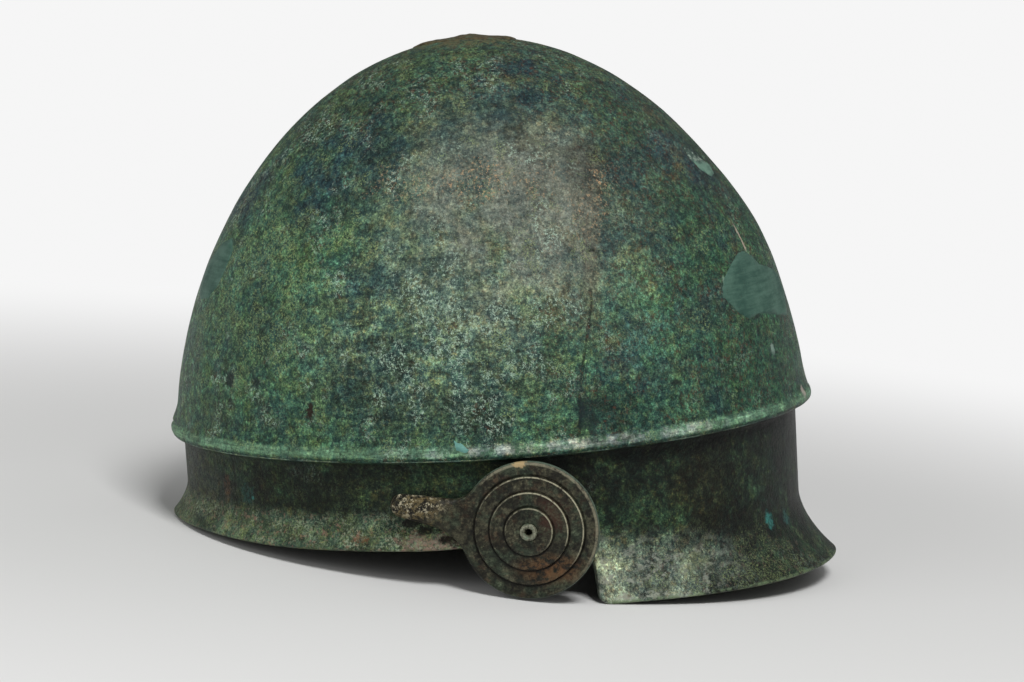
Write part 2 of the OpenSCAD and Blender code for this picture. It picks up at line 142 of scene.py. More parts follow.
def spin_chain(spots, steps, closed=False):
    """Spins a chain of points once round the z axis and closes its seam and poles.
    Each vertex remembers its place in the chain as its row."""
    bm = bmesh.new()
    row = bm.verts.layers.int.new("row")
    chain = [bm.verts.new(spot) for spot in spots]
    for number, vert in enumerate(chain):
        vert[row] = number
    after = chain[1:] + chain[:1] if closed else chain[1:]
    edges = [bm.edges.new(pair) for pair in zip(chain, after)]
    bmesh.ops.spin(bm, geom=chain + edges, cent=(0, 0, 0), axis=(0, 0, 1), angle=math.tau, steps=steps,
                   use_merge=True, use_duplicate=False)
    bmesh.ops.remove_doubles(bm, verts=bm.verts, dist=MERGE)
    return bm, row


def make_piece(name, bm, place, crisp=35):
    """Places a bmesh with a matrix, shades it, and makes it an object at the origin."""
    bmesh.ops.transform(bm, matrix=place, verts=bm.verts)
    bmesh.ops.recalc_face_normals(bm, faces=bm.faces)
    for face in bm.faces:
        face.smooth = True
    for edge in bm.edges:
        edge.smooth = len(edge.link_faces) == 2 and edge.calc_face_angle(0) < math.radians(crisp)
    piece = add_object(name, bm)
    print(f"{name}: {len(piece.data.polygons)} faces")
    return piece


def add_object(name, bm):
    """Turns a bmesh into an object of the scene."""
    mesh = bpy.data.meshes.new(name)
    bm.to_mesh(mesh)
    bm.free()
    thing = bpy.data.objects.new(name, mesh)
    bpy.context.scene.collection.objects.link(thing)
    return thing


# %% [markdown]
# The bowl. The real one is a single shell, hammered into an oval with soft points at front and back. It
# could be sculpted from a ball, but a lathe form gives the right order of rings at once: a chain from the
# crown over the brim's edge and back up inside is spun once round. Then each ring of vertices is laid on
# its own oval, as the smith stretched the metal, and the rim behind the ears is let down into the neck
# guard. The same few sizes drive the measured model, so the new surface lies on it.
# %% Sizes of the bowl in millimetres, degrees and plain ratios
DOME_LEN, DOME_W, DOME_H = 236.4, 198, 139.2
DOME_FULL = 1.71
OVAL_ROUND = 1.68
BACK_SWELL, SWELL_LIFT, SWELL_SPAN = 1.9, 31, 10
WALL = 1.8
RIDGE_OUT, RIDGE_UP, RIDGE_DOWN, RIDGE_BLEND, RIDGE_TOP = 2.1, 3.6, 2.4, 13, 60
KNOB_OUT, KNOB_SPAN, KNOB_Z = 1.1, 7, 4
GROOVE_FRONT, GROOVE_BACK, GROOVE_H = 2.2, 4.2, 3
BRIM_DROP, BRIM_SIDE_DROP, EAR_DROP, BRIM_SPREAD = 31.6, 33.4, 39, 5
LIP_H, LIP_OUT, LIP_SIDE, LIP_T, LIP_SPREAD = 11, 5.5, 3.6, 3, 2
GUARD_Y, GUARD_DROP, GUARD_FALL = 33.2, 56.4, 3
GUARD_H, GUARD_OUT, GUARD_SIDE, GUARD_T, GUARD_CORNER = 23, 12.7, 4.3, 2.4, 4
DISC_R = 24.2
LIP_FADES_FROM, LIP_FADES_TO, EAR_FALLS_FROM = 1.6 * DISC_R, 0.75 * DISC_R, 0.8 * DISC_R
FLARE_POWER, BLEND_POWER = 1.7, 2.4
HALF_LEN, HALF_W = DOME_LEN / 2, DOME_W / 2
EDGE_STEP = 0.15
GUARD_START = math.degrees(math.acos(-GUARD_Y / HALF_LEN))
DEG_PER_MM = 1 / math.radians(HALF_LEN)
print(f"the neck guard starts {GUARD_START:.1f} degrees from the front")


# %% The bowl's oval, dome and edge lines
def oval(turn, length, width, roundness):
    """A point of the plan: turn is 0 at the front and 90 at the wearer's left."""
    s = sin(turn)
    return math.copysign(width * abs(s) ** (2 / roundness), s), -length * cos(turn)


def backness(turn):
    return (1 - cos(turn)) / 2


def dome_point(turn, lift, inset=0):
    roundness = mix(OVAL_ROUND, 2, lift / 90)
    swell = BACK_SWELL * backness(turn) ** 3 * math.exp(-(((lift - SWELL_LIFT) / SWELL_SPAN) ** 2))
    length, width = (half * cos(lift) + swell for half in (HALF_LEN - inset, HALF_W - inset))
    x, y = oval(turn, length, width, roundness)
    return Vector((x, y, (DOME_H - inset) * sin(lift) ** (2 / DOME_FULL)))


def lift_at(z):
    return math.degrees(math.asin((z / DOME_H) ** (DOME_FULL / 2)))


def dome_out(z):
    return HALF_LEN * (cos(lift_at(z)) - 1)


def ring_point(turn, out, z, roundness=OVAL_ROUND):
    x, y = oval(turn, HALF_LEN + out, HALF_W + out, roundness)
    return Vector((x, y, z))


def groove_at(turn):
    return -mix(GROOVE_FRONT, GROOVE_BACK, backness(turn))


def past(turn, start, end):
    """0 in front of the place start, easing to 1 behind the place end."""
    return ease((-HALF_LEN * cos(turn) - start) / (end - start))


def lip_fade(turn):
    return past(turn, DISC_Y - LIP_FADES_FROM, DISC_Y - LIP_FADES_TO)


def in_guard(turn):
    return GUARD_START + EDGE_STEP / 2 < turn < 360 - GUARD_START - EDGE_STEP / 2


def corner_lift(turn):
    """How far the guard's rounded corner lifts its edge."""
    away = min(abs(turn - GUARD_START - EDGE_STEP), abs(360 - GUARD_START - EDGE_STEP - turn))
    into = max(0, GUARD_CORNER - away / DEG_PER_MM)
    return GUARD_CORNER - math.sqrt(GUARD_CORNER**2 - into**2)


def flare_of(turn):
    """How far the edge flares out, the height of the flare and the edge's thickness."""
    if in_guard(turn):
        start = backness(GUARD_START)
        widening = ease((backness(turn) - start) / (1 - start))
        return mix(GUARD_SIDE, GUARD_OUT, widening), GUARD_H, GUARD_T
    fade = lip_fade(turn)
    lip_out = mix(LIP_OUT, LIP_SIDE, ease(backness(turn) * LIP_SPREAD))
    return lip_out * (1 - fade), LIP_H, mix(LIP_T, WALL, fade)


def edge_z(turn, out):
    if in_guard(turn):
        y = -(HALF_LEN + out) * cos(turn)
        return -GUARD_DROP - (y - GUARD_Y) * math.tan(math.radians(GUARD_FALL)) + corner_lift(turn)
    brim = mix(BRIM_DROP, BRIM_SIDE_DROP, ease(backness(turn) * BRIM_SPREAD))
    return -mix(brim, EAR_DROP, past(turn, DISC_Y - EAR_FALLS_FROM, DISC_Y))


def knob(turn, z):
    """The small knob that the ridge has at the very front."""
    turn = min(turn % 360, 360 - turn % 360)
    return KNOB_OUT * math.exp(-((turn / KNOB_SPAN) ** 2) - (z / KNOB_Z - 1) ** 2)


print(f"edge at the front {edge_z(0, 0):.1f} mm, at the back {edge_z(180, 0):.1f} mm")


# %% [markdown]
# One section runs from the crown down the outside, over the ridge, through the groove, down the flare,
# round the edge, and back up inside. The ridge is a half round. The edge is a soft nose, thicker than the
# sheet. The numbers of rows below are multiplied by a fineness, so the section can also be built coarser.
# %% One section of the bowl
DOME_ROWS, BLEND_ROWS, RIDGE_ROWS, FLARE_ROWS, INNER_ROWS = 20, 5, 5, 8, 14
INNER_FLARE = (0.9, 0.75, 0.6, 0.45, 0.3, 0.15)
INNER_FOOT = 0.6
GROOVE_ROUND = 1.5
SLANT = 0.45
CORNER_CROWD = 1.6
EDGE_NOSE = [
    # how far in from the edge and how far up from its sole, in half thicknesses
    (-0.12, 0.8), (-0.2, 0.6), (-0.15, 0.38), (0, 0.18), (0.22, 0.05), (0.5, 0), (1, 0), (1.5, 0),
    (1.78, 0.06), (1.95, 0.3),
]


def dome_rows(turn, count, foot, inset=0):
    lifts = [mix(lift_at(foot), 90, i / (count + 1)) for i in range(count, -1, -1)]
    return [dome_point(turn, lift, inset) for lift in lifts]


def ridge_rows(turn, fine):
    """Rows of the blend from the dome, of the ridge's round and of the way down into the groove."""
    top_out, top_z = RIDGE_OUT * cos(RIDGE_TOP), RIDGE_UP * sin(RIDGE_TOP)
    dome_round = mix(OVAL_ROUND, 2, lift_at(RIDGE_BLEND) / 90)
    rows = []
    for i in range(1, BLEND_ROWS * fine):
        k = i / (BLEND_ROWS * fine)
        z = mix(RIDGE_BLEND, top_z, k)
        out = dome_out(z) + (top_out - dome_out(top_z)) * k**BLEND_POWER
        rows.append(ring_point(turn, out + knob(turn, z), z, mix(dome_round, OVAL_ROUND, ease(k))))
    for i in range(RIDGE_ROWS * fine + 1):
        a = mix(RIDGE_TOP, -90, i / (RIDGE_ROWS * fine))
        z = (RIDGE_UP if a > 0 else RIDGE_DOWN) * sin(a)
        rows.append(ring_point(turn, (RIDGE_OUT + knob(turn, z)) * cos(a), z))
    for i in range(1, GROOVE_H * fine):
        fall = i / fine
        out = groove_at(turn) * (1 - math.exp(-GROOVE_ROUND * fall))
        rows.append(ring_point(turn, out, -RIDGE_DOWN - fall))
    return rows


def section(turn, fine):
    """All rows of one section, and how many of them lie outside."""
    flare_out, flare_h, thick = flare_of(turn)
    groove, half = groove_at(turn), thick / 2
    edge_out = groove + flare_out
    sole = edge_z(turn, edge_out)

    def flare_point(k, inset):
        out = groove + flare_out * k**FLARE_POWER - inset
        return ring_point(turn, out, sole + half + flare_h * (1 - k))

    rows = [Vector((0, 0, DOME_H))]
    rows += dome_rows(turn, DOME_ROWS * fine, RIDGE_BLEND) + ridge_rows(turn, fine)
    rows += [flare_point(i / (FLARE_ROWS * fine), 0) for i in range(FLARE_ROWS * fine + 1)]
    outside = len(rows)
    for inward, upward in EDGE_NOSE:
        out = edge_out - inward * half
        rows.append(ring_point(turn, out, edge_z(turn, out) + upward * half))
    slant = WALL * SLANT * flare_out / flare_h
    rows += [flare_point(k, WALL + slant * k) for k in INNER_FLARE]
    rows += [ring_point(turn, groove - WALL, -RIDGE_DOWN - GROOVE_H)]
    rows += dome_rows(turn, INNER_ROWS * fine, RIDGE_BLEND * INNER_FOOT, WALL)[::-1]
    rows += [Vector((0, 0, DOME_H - WALL))]
    return rows, outside


print("the coarsest section at the front has", len(section(0, 1)[0]), "rows")


# %% Spin the bowl
def bowl_turns(front, guard, corner):
    """The turn of each column: even round the front and the guard, and close at the guard's corners."""
    first = GUARD_START + EDGE_STEP
    round_end = first + GUARD_CORNER * DEG_PER_MM
    near = [first + (i / corner) ** CORNER_CROWD * GUARD_CORNER * DEG_PER_MM for i in range(corner)]
    return ([mix(-GUARD_START, GUARD_START, i / front) for i in range(front + 1)] + near
            + [mix(round_end, 360 - round_end, i / guard) for i in range(guard + 1)]
            + [360 - turn for turn in reversed(near)])


def spin_bowl(fine, front, guard, corner):
    """Spins the first section, and lays each column of vertices on its own."""
    turns = bowl_turns(front, guard, corner)
    sections = [section(turn, fine) for turn in turns]
    first_rows, outside = sections[0]
    lathe = [(0, -math.hypot(point.x, point.y), point.z) for point in first_rows]
    bm, row = spin_chain(lathe, len(turns))
    for vert in bm.verts:
        angle = math.atan2(vert.co.x, -vert.co.y) % math.tau
        column = round(angle / math.tau * len(turns)) % len(turns)
        vert.co = sections[column][0][vert[row]]
    bmesh.ops.recalc_face_normals(bm, faces=bm.faces)
    return bm, row, outside


# %% [markdown]
# The hammered sheet is not perfect. Soft, shallow facets from the hammer cover it, and a few places were
# hurt in the ground: a bruise, a pit, a nick under the ridge. All of them only go inwards, so the measured
# size stays. Noise gives the facets, and each hurt place is a smooth dent round a known spot.
# %% Hammer facets and dents
FACET_DEPTH, FACET_SIZE = 0.15, 13
SMALL_FACET_DEPTH, SMALL_FACET_SIZE = 0.05, 4.5
EVEN_ROWS, EVEN_CROWN = 6, 25


def on_bowl(turn, height):
    """A point of the outer surface, at a turn in degrees and a height over the ridge in mm."""
    if height > 0:
        return dome_point(turn, lift_at(height))
    return ring_point(turn, groove_at(turn), height)


DENTS = [
    # turn round the bowl, height, radius and depth
    (113, 56, 5.0, 0.30), (57, 16, 2.2, 0.45), (147, 0, 3.0, 0.9), (36, 24, 2.6, 0.25), (44, 24, 2.2, 0.25),
    (37, 17, 2.0, 0.2), (30, -30, 4.5, 0.4), (62, -31, 5.0, 0.3), (70, 1, 2.6, 0.3), (-77, 78, 7.0, 0.4),
    (-120, 62, 5.0, 0.3), (-64, 1, 2.6, 0.5), (-150, -50, 6.0, 0.4), (140, -54, 7.0, 0.35),
    (20, 90, 6.0, 0.3),
]
DENT_SPOTS = [(on_bowl(turn, height), radius, depth) for turn, height, radius, depth in DENTS]


def hammered(point):
    """How deep the surface lies under its true form, in millimetres."""
    facets = FACET_DEPTH * (1 + noise.noise(point / FACET_SIZE))
    facets += SMALL_FACET_DEPTH * (1 + noise.noise(point / SMALL_FACET_SIZE))
    hurt = sum(depth * math.exp(-((point - spot).length / radius) ** 2)
               for spot, radius, depth in DENT_SPOTS)
    return facets + hurt


def hammer(bm, row, outside):
    """Pushes the outer vertices in, and less so near the edge and the crown."""
    bm.normal_update()
    pushes = []
    for vert in bm.verts:
        if vert[row] < outside:
            off_crown = ease(math.hypot(vert.co.x, vert.co.y) / EVEN_CROWN)
            steady = ease((outside - vert[row]) / EVEN_ROWS) * off_crown
            pushes.append((vert, vert.normal * hammered(vert.co) * steady))
    for vert, push in pushes:
        vert.co -= push


bm, row, outside = spin_bowl(fine=3, front=150, guard=120, corner=6)
hammer(bm, row, outside)
bowl = make_piece("bowl", bm, STANDING)

# %% [markdown]
# Four holes were filled when the helmet was restored. A fill carries on the surface of the bronze, so it is
# cut from the same sheet: an outline is drawn on the spot's tangent plane and extruded through the wall. The
# bowl loses what is inside the outline, and the fill keeps it, a hair smaller, so that a fine seam shows
# between them. The chip in the ridge is shallow, so its cutter reaches less deep.
# %% Fills for the four holes
# Each hole has the turn and the lift of its spot in degrees, and its outline round the spot in mm
BACK_HOLE = (152.5, 23, [
    (0, 12), (6, 9.5), (9, 6), (24, 3), (31, 0), (33, -6), (26, -15), (6, -12.5), (-3, -11), (-9, -12),
    (-14, -9.5), (-18, -5.5), (-21, -2), (-20.5, 1.5), (-18, 4.5), (-9, 10), (-4, 12)])
UPPER_HOLE = (161, 43.5, [
    (-4.5, 7.5), (-1, 5.5), (3, 1.5), (7.5, -2), (5, -6), (-0.5, -6.5), (-5.5, -2), (-7, 3.5)])
FRONT_HOLE = (16.5, 30, [
    (6.5, 12), (-3, 9), (-11, 3), (-20, -2), (-16, -9), (-7, -13), (3, -11.5), (9, -6), (11, 1), (11.5, 8)])
RIDGE_HOLE = (84.5, 4, [(-2.2, -1), (0, -2), (2.7, -4.3), (1.8, -5.4), (-1.4, -4.4)])
NUDGE = 0.5
THROUGH = 15
CHIP_DEPTH = 3.2
SEAM = 0.2
JOG, JOG_SIZE = 0.45, 1.7


def spot_frame(turn, lift):
    """The tangent frame of a spot on the dome: z leaves the bronze and x runs level."""
    along = dome_point(turn + NUDGE, lift) - dome_point(turn - NUDGE, lift)
    over = dome_point(turn, lift + NUDGE) - dome_point(turn, lift - NUDGE)
    out = along.cross(over).normalized()
    side = Vector((0, 0, 1)).cross(out).normalized()
    axes = Matrix((side, out.cross(side), out)).transposed()
    return Matrix.Translation(dome_point(turn, lift)) @ axes.to_4x4()


def jog(a, b, c):
    return JOG * noise.noise(Vector((a, b, c)) / JOG_SIZE)


def hole_cutter(hole, depth, shrink=0.0):
    """A prism that reaches depth into the bronze, with a ragged outline drawn in by shrink."""
    turn, lift, outline = hole
    bm = bmesh.new()
    face = bm.faces.new([bm.verts.new((x, y, -depth)) for x, y in outline])
    bm.normal_update()
    if face.normal.z < 0:
        face.normal_flip()
    bmesh.ops.subdivide_edges(bm, edges=bm.edges, cuts=3, use_grid_fill=False)
    for vert in bm.verts:
        vert.co.x += jog(vert.co.x, vert.co.y, turn)
        vert.co.y += jog(vert.co.y, turn, vert.co.x)
    if shrink:
        ring = bmesh.ops.inset_region(bm, faces=bm.faces, thickness=shrink, use_even_offset=True)
        bmesh.ops.delete(bm, geom=ring["faces"], context="FACES")
    walls = bmesh.ops.extrude_face_region(bm, geom=list(bm.faces))
    lifted = [part for part in walls["geom"] if isinstance(part, bmesh.types.BMVert)]
    bmesh.ops.translate(bm, verts=lifted, vec=(0, 0, depth + THROUGH))
    bmesh.ops.recalc_face_normals(bm, faces=bm.faces)
    bmesh.ops.transform(bm, matrix=STANDING @ spot_frame(turn, lift), verts=bm.verts)
    return add_object("cutter", bm)


def cut(piece, cutter, operation):
    """Runs one Boolean and keeps its result as the piece's mesh."""
    boolean = piece.modifiers.new("cut", "BOOLEAN")
    boolean.operation = operation
    boolean.solver = "MANIFOLD"
    boolean.object = cutter
    bpy.context.view_layer.update()
    result = bpy.data.meshes.new_from_object(piece.evaluated_get(bpy.context.evaluated_depsgraph_get()))
    piece.modifiers.clear()
    piece.data = result


def cut_fill(name, hole, depth):
    """Copies the bowl, keeps of the copy what lies in the hole, and opens the hole in the bowl."""
    fill = bpy.data.objects.new(name, bowl.data.copy())
    bpy.context.scene.collection.objects.link(fill)
    small, large = hole_cutter(hole, depth - SEAM, SEAM), hole_cutter(hole, depth)
    cut(fill, small, "INTERSECT")
    cut(bowl, large, "DIFFERENCE")
    for cutter in (small, large):
        bpy.data.objects.remove(cutter)
    print(f"{name}: {len(fill.data.polygons)} faces, bowl now {len(bowl.data.polygons)}")
    return fill


HOLES = [
    # the new piece, the measured node that it replaces, its hole and how deep that reaches
    ("back_patch", "back_fill", BACK_HOLE, THROUGH),
    ("upper_patch", "upper_back_fill", UPPER_HOLE, THROUGH),
    ("front_patch", "front_fill", FRONT_HOLE, THROUGH),
    ("ridge_patch", "ridge_fill", RIDGE_HOLE, CHIP_DEPTH),
]
fills = {node: cut_fill(name, hole, depth) for name, node, hole, depth in HOLES}
for node, fill in fills.items():
    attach(fill, "helmet")
    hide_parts(node)
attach(bowl, "helmet")
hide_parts("helmet_bowl")

# %% [markdown]
# The ear discs. Each was cast flat with three low steps, and an arm that points to the front, by which it
# can be turned. A closed section is spun once, which gives the disc with its steps and its bore. Its outer
# band of vertices is then stretched to the outline of disc and arm, and the arm's rows are raised into its
# thick, worn tip.
# %% Sizes of the ear disc in millimetres and degrees
RIM_T = 2.4
STEPS, STEP_W, STEP_H = 3, 5.3, 0.9
STEP_TOP = RIM_T + STEPS * STEP_H
BAND_R = DISC_R - STEP_W + 1
ARM_LEN, ARM_RISE = 49, 13.3
ARM_TIP_R, ARM_ROOT_R, ARM_T = 4.1, 6, 5.2
UPPER_FILLET, LOWER_FILLET = 9, 18
BORE_R = 2.25
ARM_TAPER = (ARM_ROOT_R - ARM_TIP_R) / (ARM_LEN - ARM_TIP_R - DISC_R)
LEFT_EAR = STANDING @ Matrix.Translation((hinge_at.x / MM, DISC_Y, -DISC_DROP))
LEFT_EAR = LEFT_EAR @ Matrix.Rotation(math.radians(90 - DISC_TURN), 4, "Z")
LEFT_EAR = LEFT_EAR @ Matrix.Rotation(math.radians(90), 4, "X")
RIGHT_EAR = Matrix.Diagonal((-1, 1, 1, 1)) @ LEFT_EAR
EARS = {"left": LEFT_EAR, "right": RIGHT_EAR}
print(f"the disc is {STEP_TOP:.1f} mm thick in the middle and {RIM_T} mm at its rim")


# %% The outline of disc and arm
def fillet_centre(radius):
    """The centre of the round between the disc and the arm's edge, on the side where y is above zero."""
    slant = math.hypot(1, ARM_TAPER)
    reach = ARM_ROOT_R + ARM_TAPER * DISC_R + radius * slant
    root = math.sqrt((reach * ARM_TAPER) ** 2 - slant**2 * (reach**2 - (DISC_R + radius) ** 2))
    x = (reach * ARM_TAPER + root) / slant**2
    return Vector((x, reach - ARM_TAPER * x))


def outline_reach(turn):
    """Distance from the centre to the outline; turn is 0 along the arm and grows to its lower side."""
    turn = (turn + 180) % 360 - 180
    away = abs(turn)
    way = Vector((cos(away), sin(away)))
    if way.x <= 0:
        return DISC_R
    reach = max(DISC_R, (ARM_ROOT_R + ARM_TAPER * DISC_R) / (way.y + ARM_TAPER * way.x))
    tip = ARM_LEN - ARM_TIP_R
    if reach * way.x > tip + ARM_TIP_R * ARM_TAPER:
        reach = tip * way.x + math.sqrt(ARM_TIP_R**2 - (tip * way.y) ** 2)
    radius = LOWER_FILLET if turn > 0 else UPPER_FILLET
    centre = fillet_centre(radius)
    foot = centre - Vector((ARM_TAPER, 1)) * radius / math.hypot(1, ARM_TAPER)
    if math.degrees(math.atan2(foot.y, foot.x)) < away < math.degrees(math.atan2(centre.y, centre.x)):
        middle = centre.dot(way)
        reach = middle - math.sqrt(max(middle**2 - centre.length_squared + radius**2, 0))
    return reach


def even_turns(count, fine=0.05):
    """Turns whose points lie evenly along the outline, and the outline's own fine points."""
    turns = [i * fine for i in range(int(360 / fine) + 1)]
    spots = [Vector((cos(turn), sin(turn))) * outline_reach(turn) for turn in turns]
    lengths = [0]
    for a, b in zip(spots, spots[1:]):
        lengths.append(lengths[-1] + (b - a).length)
    even, at = [], 0
    for i in range(count):
        while lengths[at + 1] < lengths[-1] * i / count:
            at += 1
        even.append(turns[at])
    return even, spots


print(f"the arm reaches {outline_reach(0):.1f} mm from the rivet")


# %% The section of the ear disc
EDGE_ROWS = [0, 0.05, 0.14, 0.28, 0.5, 0.8, 1.2, 1.7, 2.4]
BAND_ROWS = 26
BACK_ROWS = 6
STEP_LIP = [
    # how far out from the step's edge in mm, and how far up in step heights
    (0.95, -0.06), (0.6, -0.22), (0.36, -0.28), (0.22, 0), (0.12, 0.55), (0.02, 0.95), (-0.18, 1.15),
    (-0.45, 1.12), (-0.9, 0.96), (-1.5, 0.86),
]
STEP_FLAT, STEP_FLAT_H = (0.45, 0.6, 0.72), 0.82
BORE_EDGE = [
    # how far out from the bore, and how far down from the top of the steps
    (0.3, 0.05), (0, 0.25),
]
BORE_MIDDLE = 2.5


def disc_section():
    """Rows from the bore's back edge out to the rim and back over the steps.
    Each has a radius, a height and its place in the band, which is None for the rows inside it.
    A row of the band has 0 for the back and 1 for the front in place of a height."""
    rows = [(mix(BORE_R, BAND_R, i / BACK_ROWS), 0, None) for i in range(BACK_ROWS + 1)]
    band = [("even", i / BAND_ROWS) for i in range(1, BAND_ROWS)]
    band += [("edge", inward) for inward in reversed(EDGE_ROWS)]
    rows += [(BAND_R, 0, place) for place in band]
    rows += [(BAND_R, 1, place) for place in reversed(band[:-1])]
    for step in range(STEPS):
        edge, foot = DISC_R - (step + 1) * STEP_W, RIM_T + step * STEP_H
        rows += [(edge + a, foot + b * STEP_H, None) for a, b in STEP_LIP]
        rows += [(edge - STEP_W * k, foot + STEP_H * STEP_FLAT_H, None) for k in STEP_FLAT]
    rows += [(BORE_R + out, STEP_TOP - down, None) for out, down in BORE_EDGE]
    rows += [(BORE_R, BORE_MIDDLE, None)]
    return rows


print("the disc's section has", len(disc_section()), "rows")


# %% [markdown]
# The spin starts from a small closed loop of points well away from the axis, one for each row of the
# section. Its shape doesn't matter, because every vertex is moved to its own place afterwards. The band's
# vertices ask how far the outline is, so that the edge gets an evenly rounded nose.
# %% Build one ear disc
LOOP_AWAY = 40
WEAR, WEAR_SIZE = 0.05, 2.4
RIM_NOSE, TIP_NOSE = 0.7, 3.9
PIT_DEPTH, PIT_SIZE, GRIT_DEPTH, GRIT_SIZE = 0.3, 1.9, 0.06, 3
# Where along the arm a change starts, and over what length it goes on
THICKER, ROUNDER, PITTED = (20, 16), (22, 14), (28, 12)


def along_arm(spot, change, rim, tip):
    """A size that goes over from the rim's to that of the arm's tip."""
    start, length = change
    return mix(rim, tip, ease((spot.x - start) / length))


def band_point(turn, kind, amount, front, edge_tree):
    """A point of the outer band, on the front or the back of the rim and the arm."""
    reach = outline_reach(turn)
    radius = mix(BAND_R, reach - EDGE_ROWS[-1], amount) if kind == "even" else reach - amount
    spot = Vector((cos(turn) * radius, sin(turn) * radius, 0))
    inward = edge_tree.find(spot)[2] if amount != 0 or kind == "even" else 0
    thick = along_arm(spot, THICKER, RIM_T, ARM_T)
    nose = along_arm(spot, ROUNDER, RIM_NOSE, TIP_NOSE)
    full = math.sqrt(1 - (1 - min(inward / nose, 1)) ** 2)
    if not front:
        return spot + Vector((0, 0, thick / 2 * (1 - full)))
    pits = PIT_DEPTH * along_arm(spot, PITTED, 0, 1) * noise.noise(spot / PIT_SIZE)
    pits += GRIT_DEPTH * noise.noise(spot / GRIT_SIZE)
    return spot + Vector((0, 0, thick / 2 * (1 + full) + pits * full))


def step_point(turn, radius, height):
    """A point of the steps, the bore or the back; the steps show a little wear."""
    way = Vector((cos(turn), sin(turn), 0))
    wear = WEAR * noise.noise(way * radius / WEAR_SIZE) if height > 1 else 0
    return Vector((cos(turn) * radius, sin(turn) * radius, height + wear))


def build_disc(columns):
    rows = disc_section()
    turns, outline = even_turns(columns)
    edge_tree = kdtree.KDTree(len(outline))
    for number, spot in enumerate(outline):
        edge_tree.insert((*spot, 0), number)
    edge_tree.balance()
    loop = [i * 360 / len(rows) for i in range(len(rows))]
    bm, row_of = spin_chain([(LOOP_AWAY + cos(a), 0, sin(a)) for a in loop], columns, closed=True)
    for vert in bm.verts:
        column = round(math.atan2(vert.co.y, vert.co.x) % math.tau / math.tau * columns) % columns
        radius, height, band = rows[vert[row_of]]
        if band is None:
            vert.co = step_point(turns[column], radius, height)
        else:
            vert.co = band_point(turns[column], *band, height, edge_tree)
    arm_way = Matrix.Rotation(math.radians(180 - ARM_RISE), 3, "Z")
    bmesh.ops.rotate(bm, verts=bm.verts, cent=(0, 0, 0), matrix=arm_way)
    return bm


discs = {}
for side, place in EARS.items():
    disc = make_piece(f"{side}_stepped_disc", build_disc(columns=420), place, crisp=50)
    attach(disc, f"{side}_disc")
    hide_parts(f"{side}_ear_disc")
    discs[side] = disc

# %% [markdown]
# Each disc turns on a hollow rivet: a tube with a ring-shaped head outside, whose tail is spread over a
# washer inside the helmet. Its section is a closed chain, spun once. The tail's face that lies on the washer
# leans with the wall.
# %% Where the wall is behind the disc
RUN_GAP, SEAT_GAP, WASHER_T = 0.05, 0.35, 0.9


def wall_at(y):
    turn = math.degrees(math.acos(-y / HALF_LEN))
    return ring_point(turn, groove_at(turn), 0)


wall_way = wall_at(DISC_Y + 1) - wall_at(DISC_Y - 1)
wall_turn = math.degrees(math.atan2(-wall_way.x, wall_way.y))
lean = math.radians(DISC_TURN + wall_turn)
stand_off = hinge_at.x / MM - wall_at(DISC_Y).x
stand_off /= cos(DISC_TURN) - sin(DISC_TURN) * math.tan(math.radians(wall_turn))
print(f"the wall leans {math.degrees(lean):.1f} degrees, {stand_off:.2f} mm behind the disc")

# %% Rivets
PIN_R, HOLE_R = 2.2, 1.3
HEAD_R, HEAD_H, HEAD_SIDE, HEAD_WEAR, WEAR_PER_MM = 3.0, 1.4, 0.35, 0.12, 0.9
TAIL_R, TAIL_H, TAIL_BEVEL, FACE_BEVEL = 3.4, 1.2, 0.3, 0.2
WORN_FROM = 0.3
RIVET_COLUMNS = 64
tail_face = stand_off + (WALL + 2 * SEAT_GAP + WASHER_T) / math.cos(lean)
tail_end = tail_face + TAIL_H / math.cos(lean) + TAIL_R * math.tan(lean)
head_foot = STEP_TOP + RUN_GAP
head_mid, head_half = (HEAD_R + HOLE_R) / 2, (HEAD_R - HOLE_R) / 2
RIVET = [
    # radius, height and whether the point leans with the wall
    (HOLE_R, -tail_end, False), (TAIL_R - TAIL_BEVEL, -tail_end, False),
    (TAIL_R, -tail_end + TAIL_BEVEL, False), (TAIL_R, -tail_face - FACE_BEVEL, True),
    (TAIL_R - FACE_BEVEL, -tail_face, True), (PIN_R, -tail_face, True),
    (PIN_R, head_foot, False), (HEAD_R, head_foot, False),
]
for a in range(0, 181, 15):
    head_round = head_foot + HEAD_SIDE + (HEAD_H - HEAD_SIDE) * sin(a)
    RIVET.append((head_mid + head_half * cos(a), head_round, False))

rivets = {}
for side, place in EARS.items():
    bm, row = spin_chain([(radius, 0, height) for radius, height, _ in RIVET], RIVET_COLUMNS, closed=True)
    for vert in bm.verts:
        if RIVET[vert[row]][2]:
            vert.co.z -= vert.co.x * math.tan(lean)
        if vert.co.z > head_foot + WORN_FROM:
            vert.co.z += HEAD_WEAR * noise.noise(vert.co * WEAR_PER_MM)
    rivet = make_piece(f"{side}_rivet", bm, place, crisp=50)
    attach(rivet, "helmet")
    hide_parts(f"{side}_disc_pin")
    rivets[side] = rivet

# %% Bore the bowl for the rivets
BIT_LEN = 14
for side, place in EARS.items():
    bm = bmesh.new()
    bmesh.ops.create_cone(bm, cap_ends=True, segments=48, radius1=BORE_R, radius2=BORE_R, depth=BIT_LEN,
                          matrix=Matrix.Translation((0, 0, -BIT_LEN / 2)))
    bit = make_piece(f"{side}_bit", bm, place)
    cut(bowl, bit, "DIFFERENCE")
    bpy.data.objects.remove(bit)
print("bowl:", len(bowl.data.polygons), "faces")

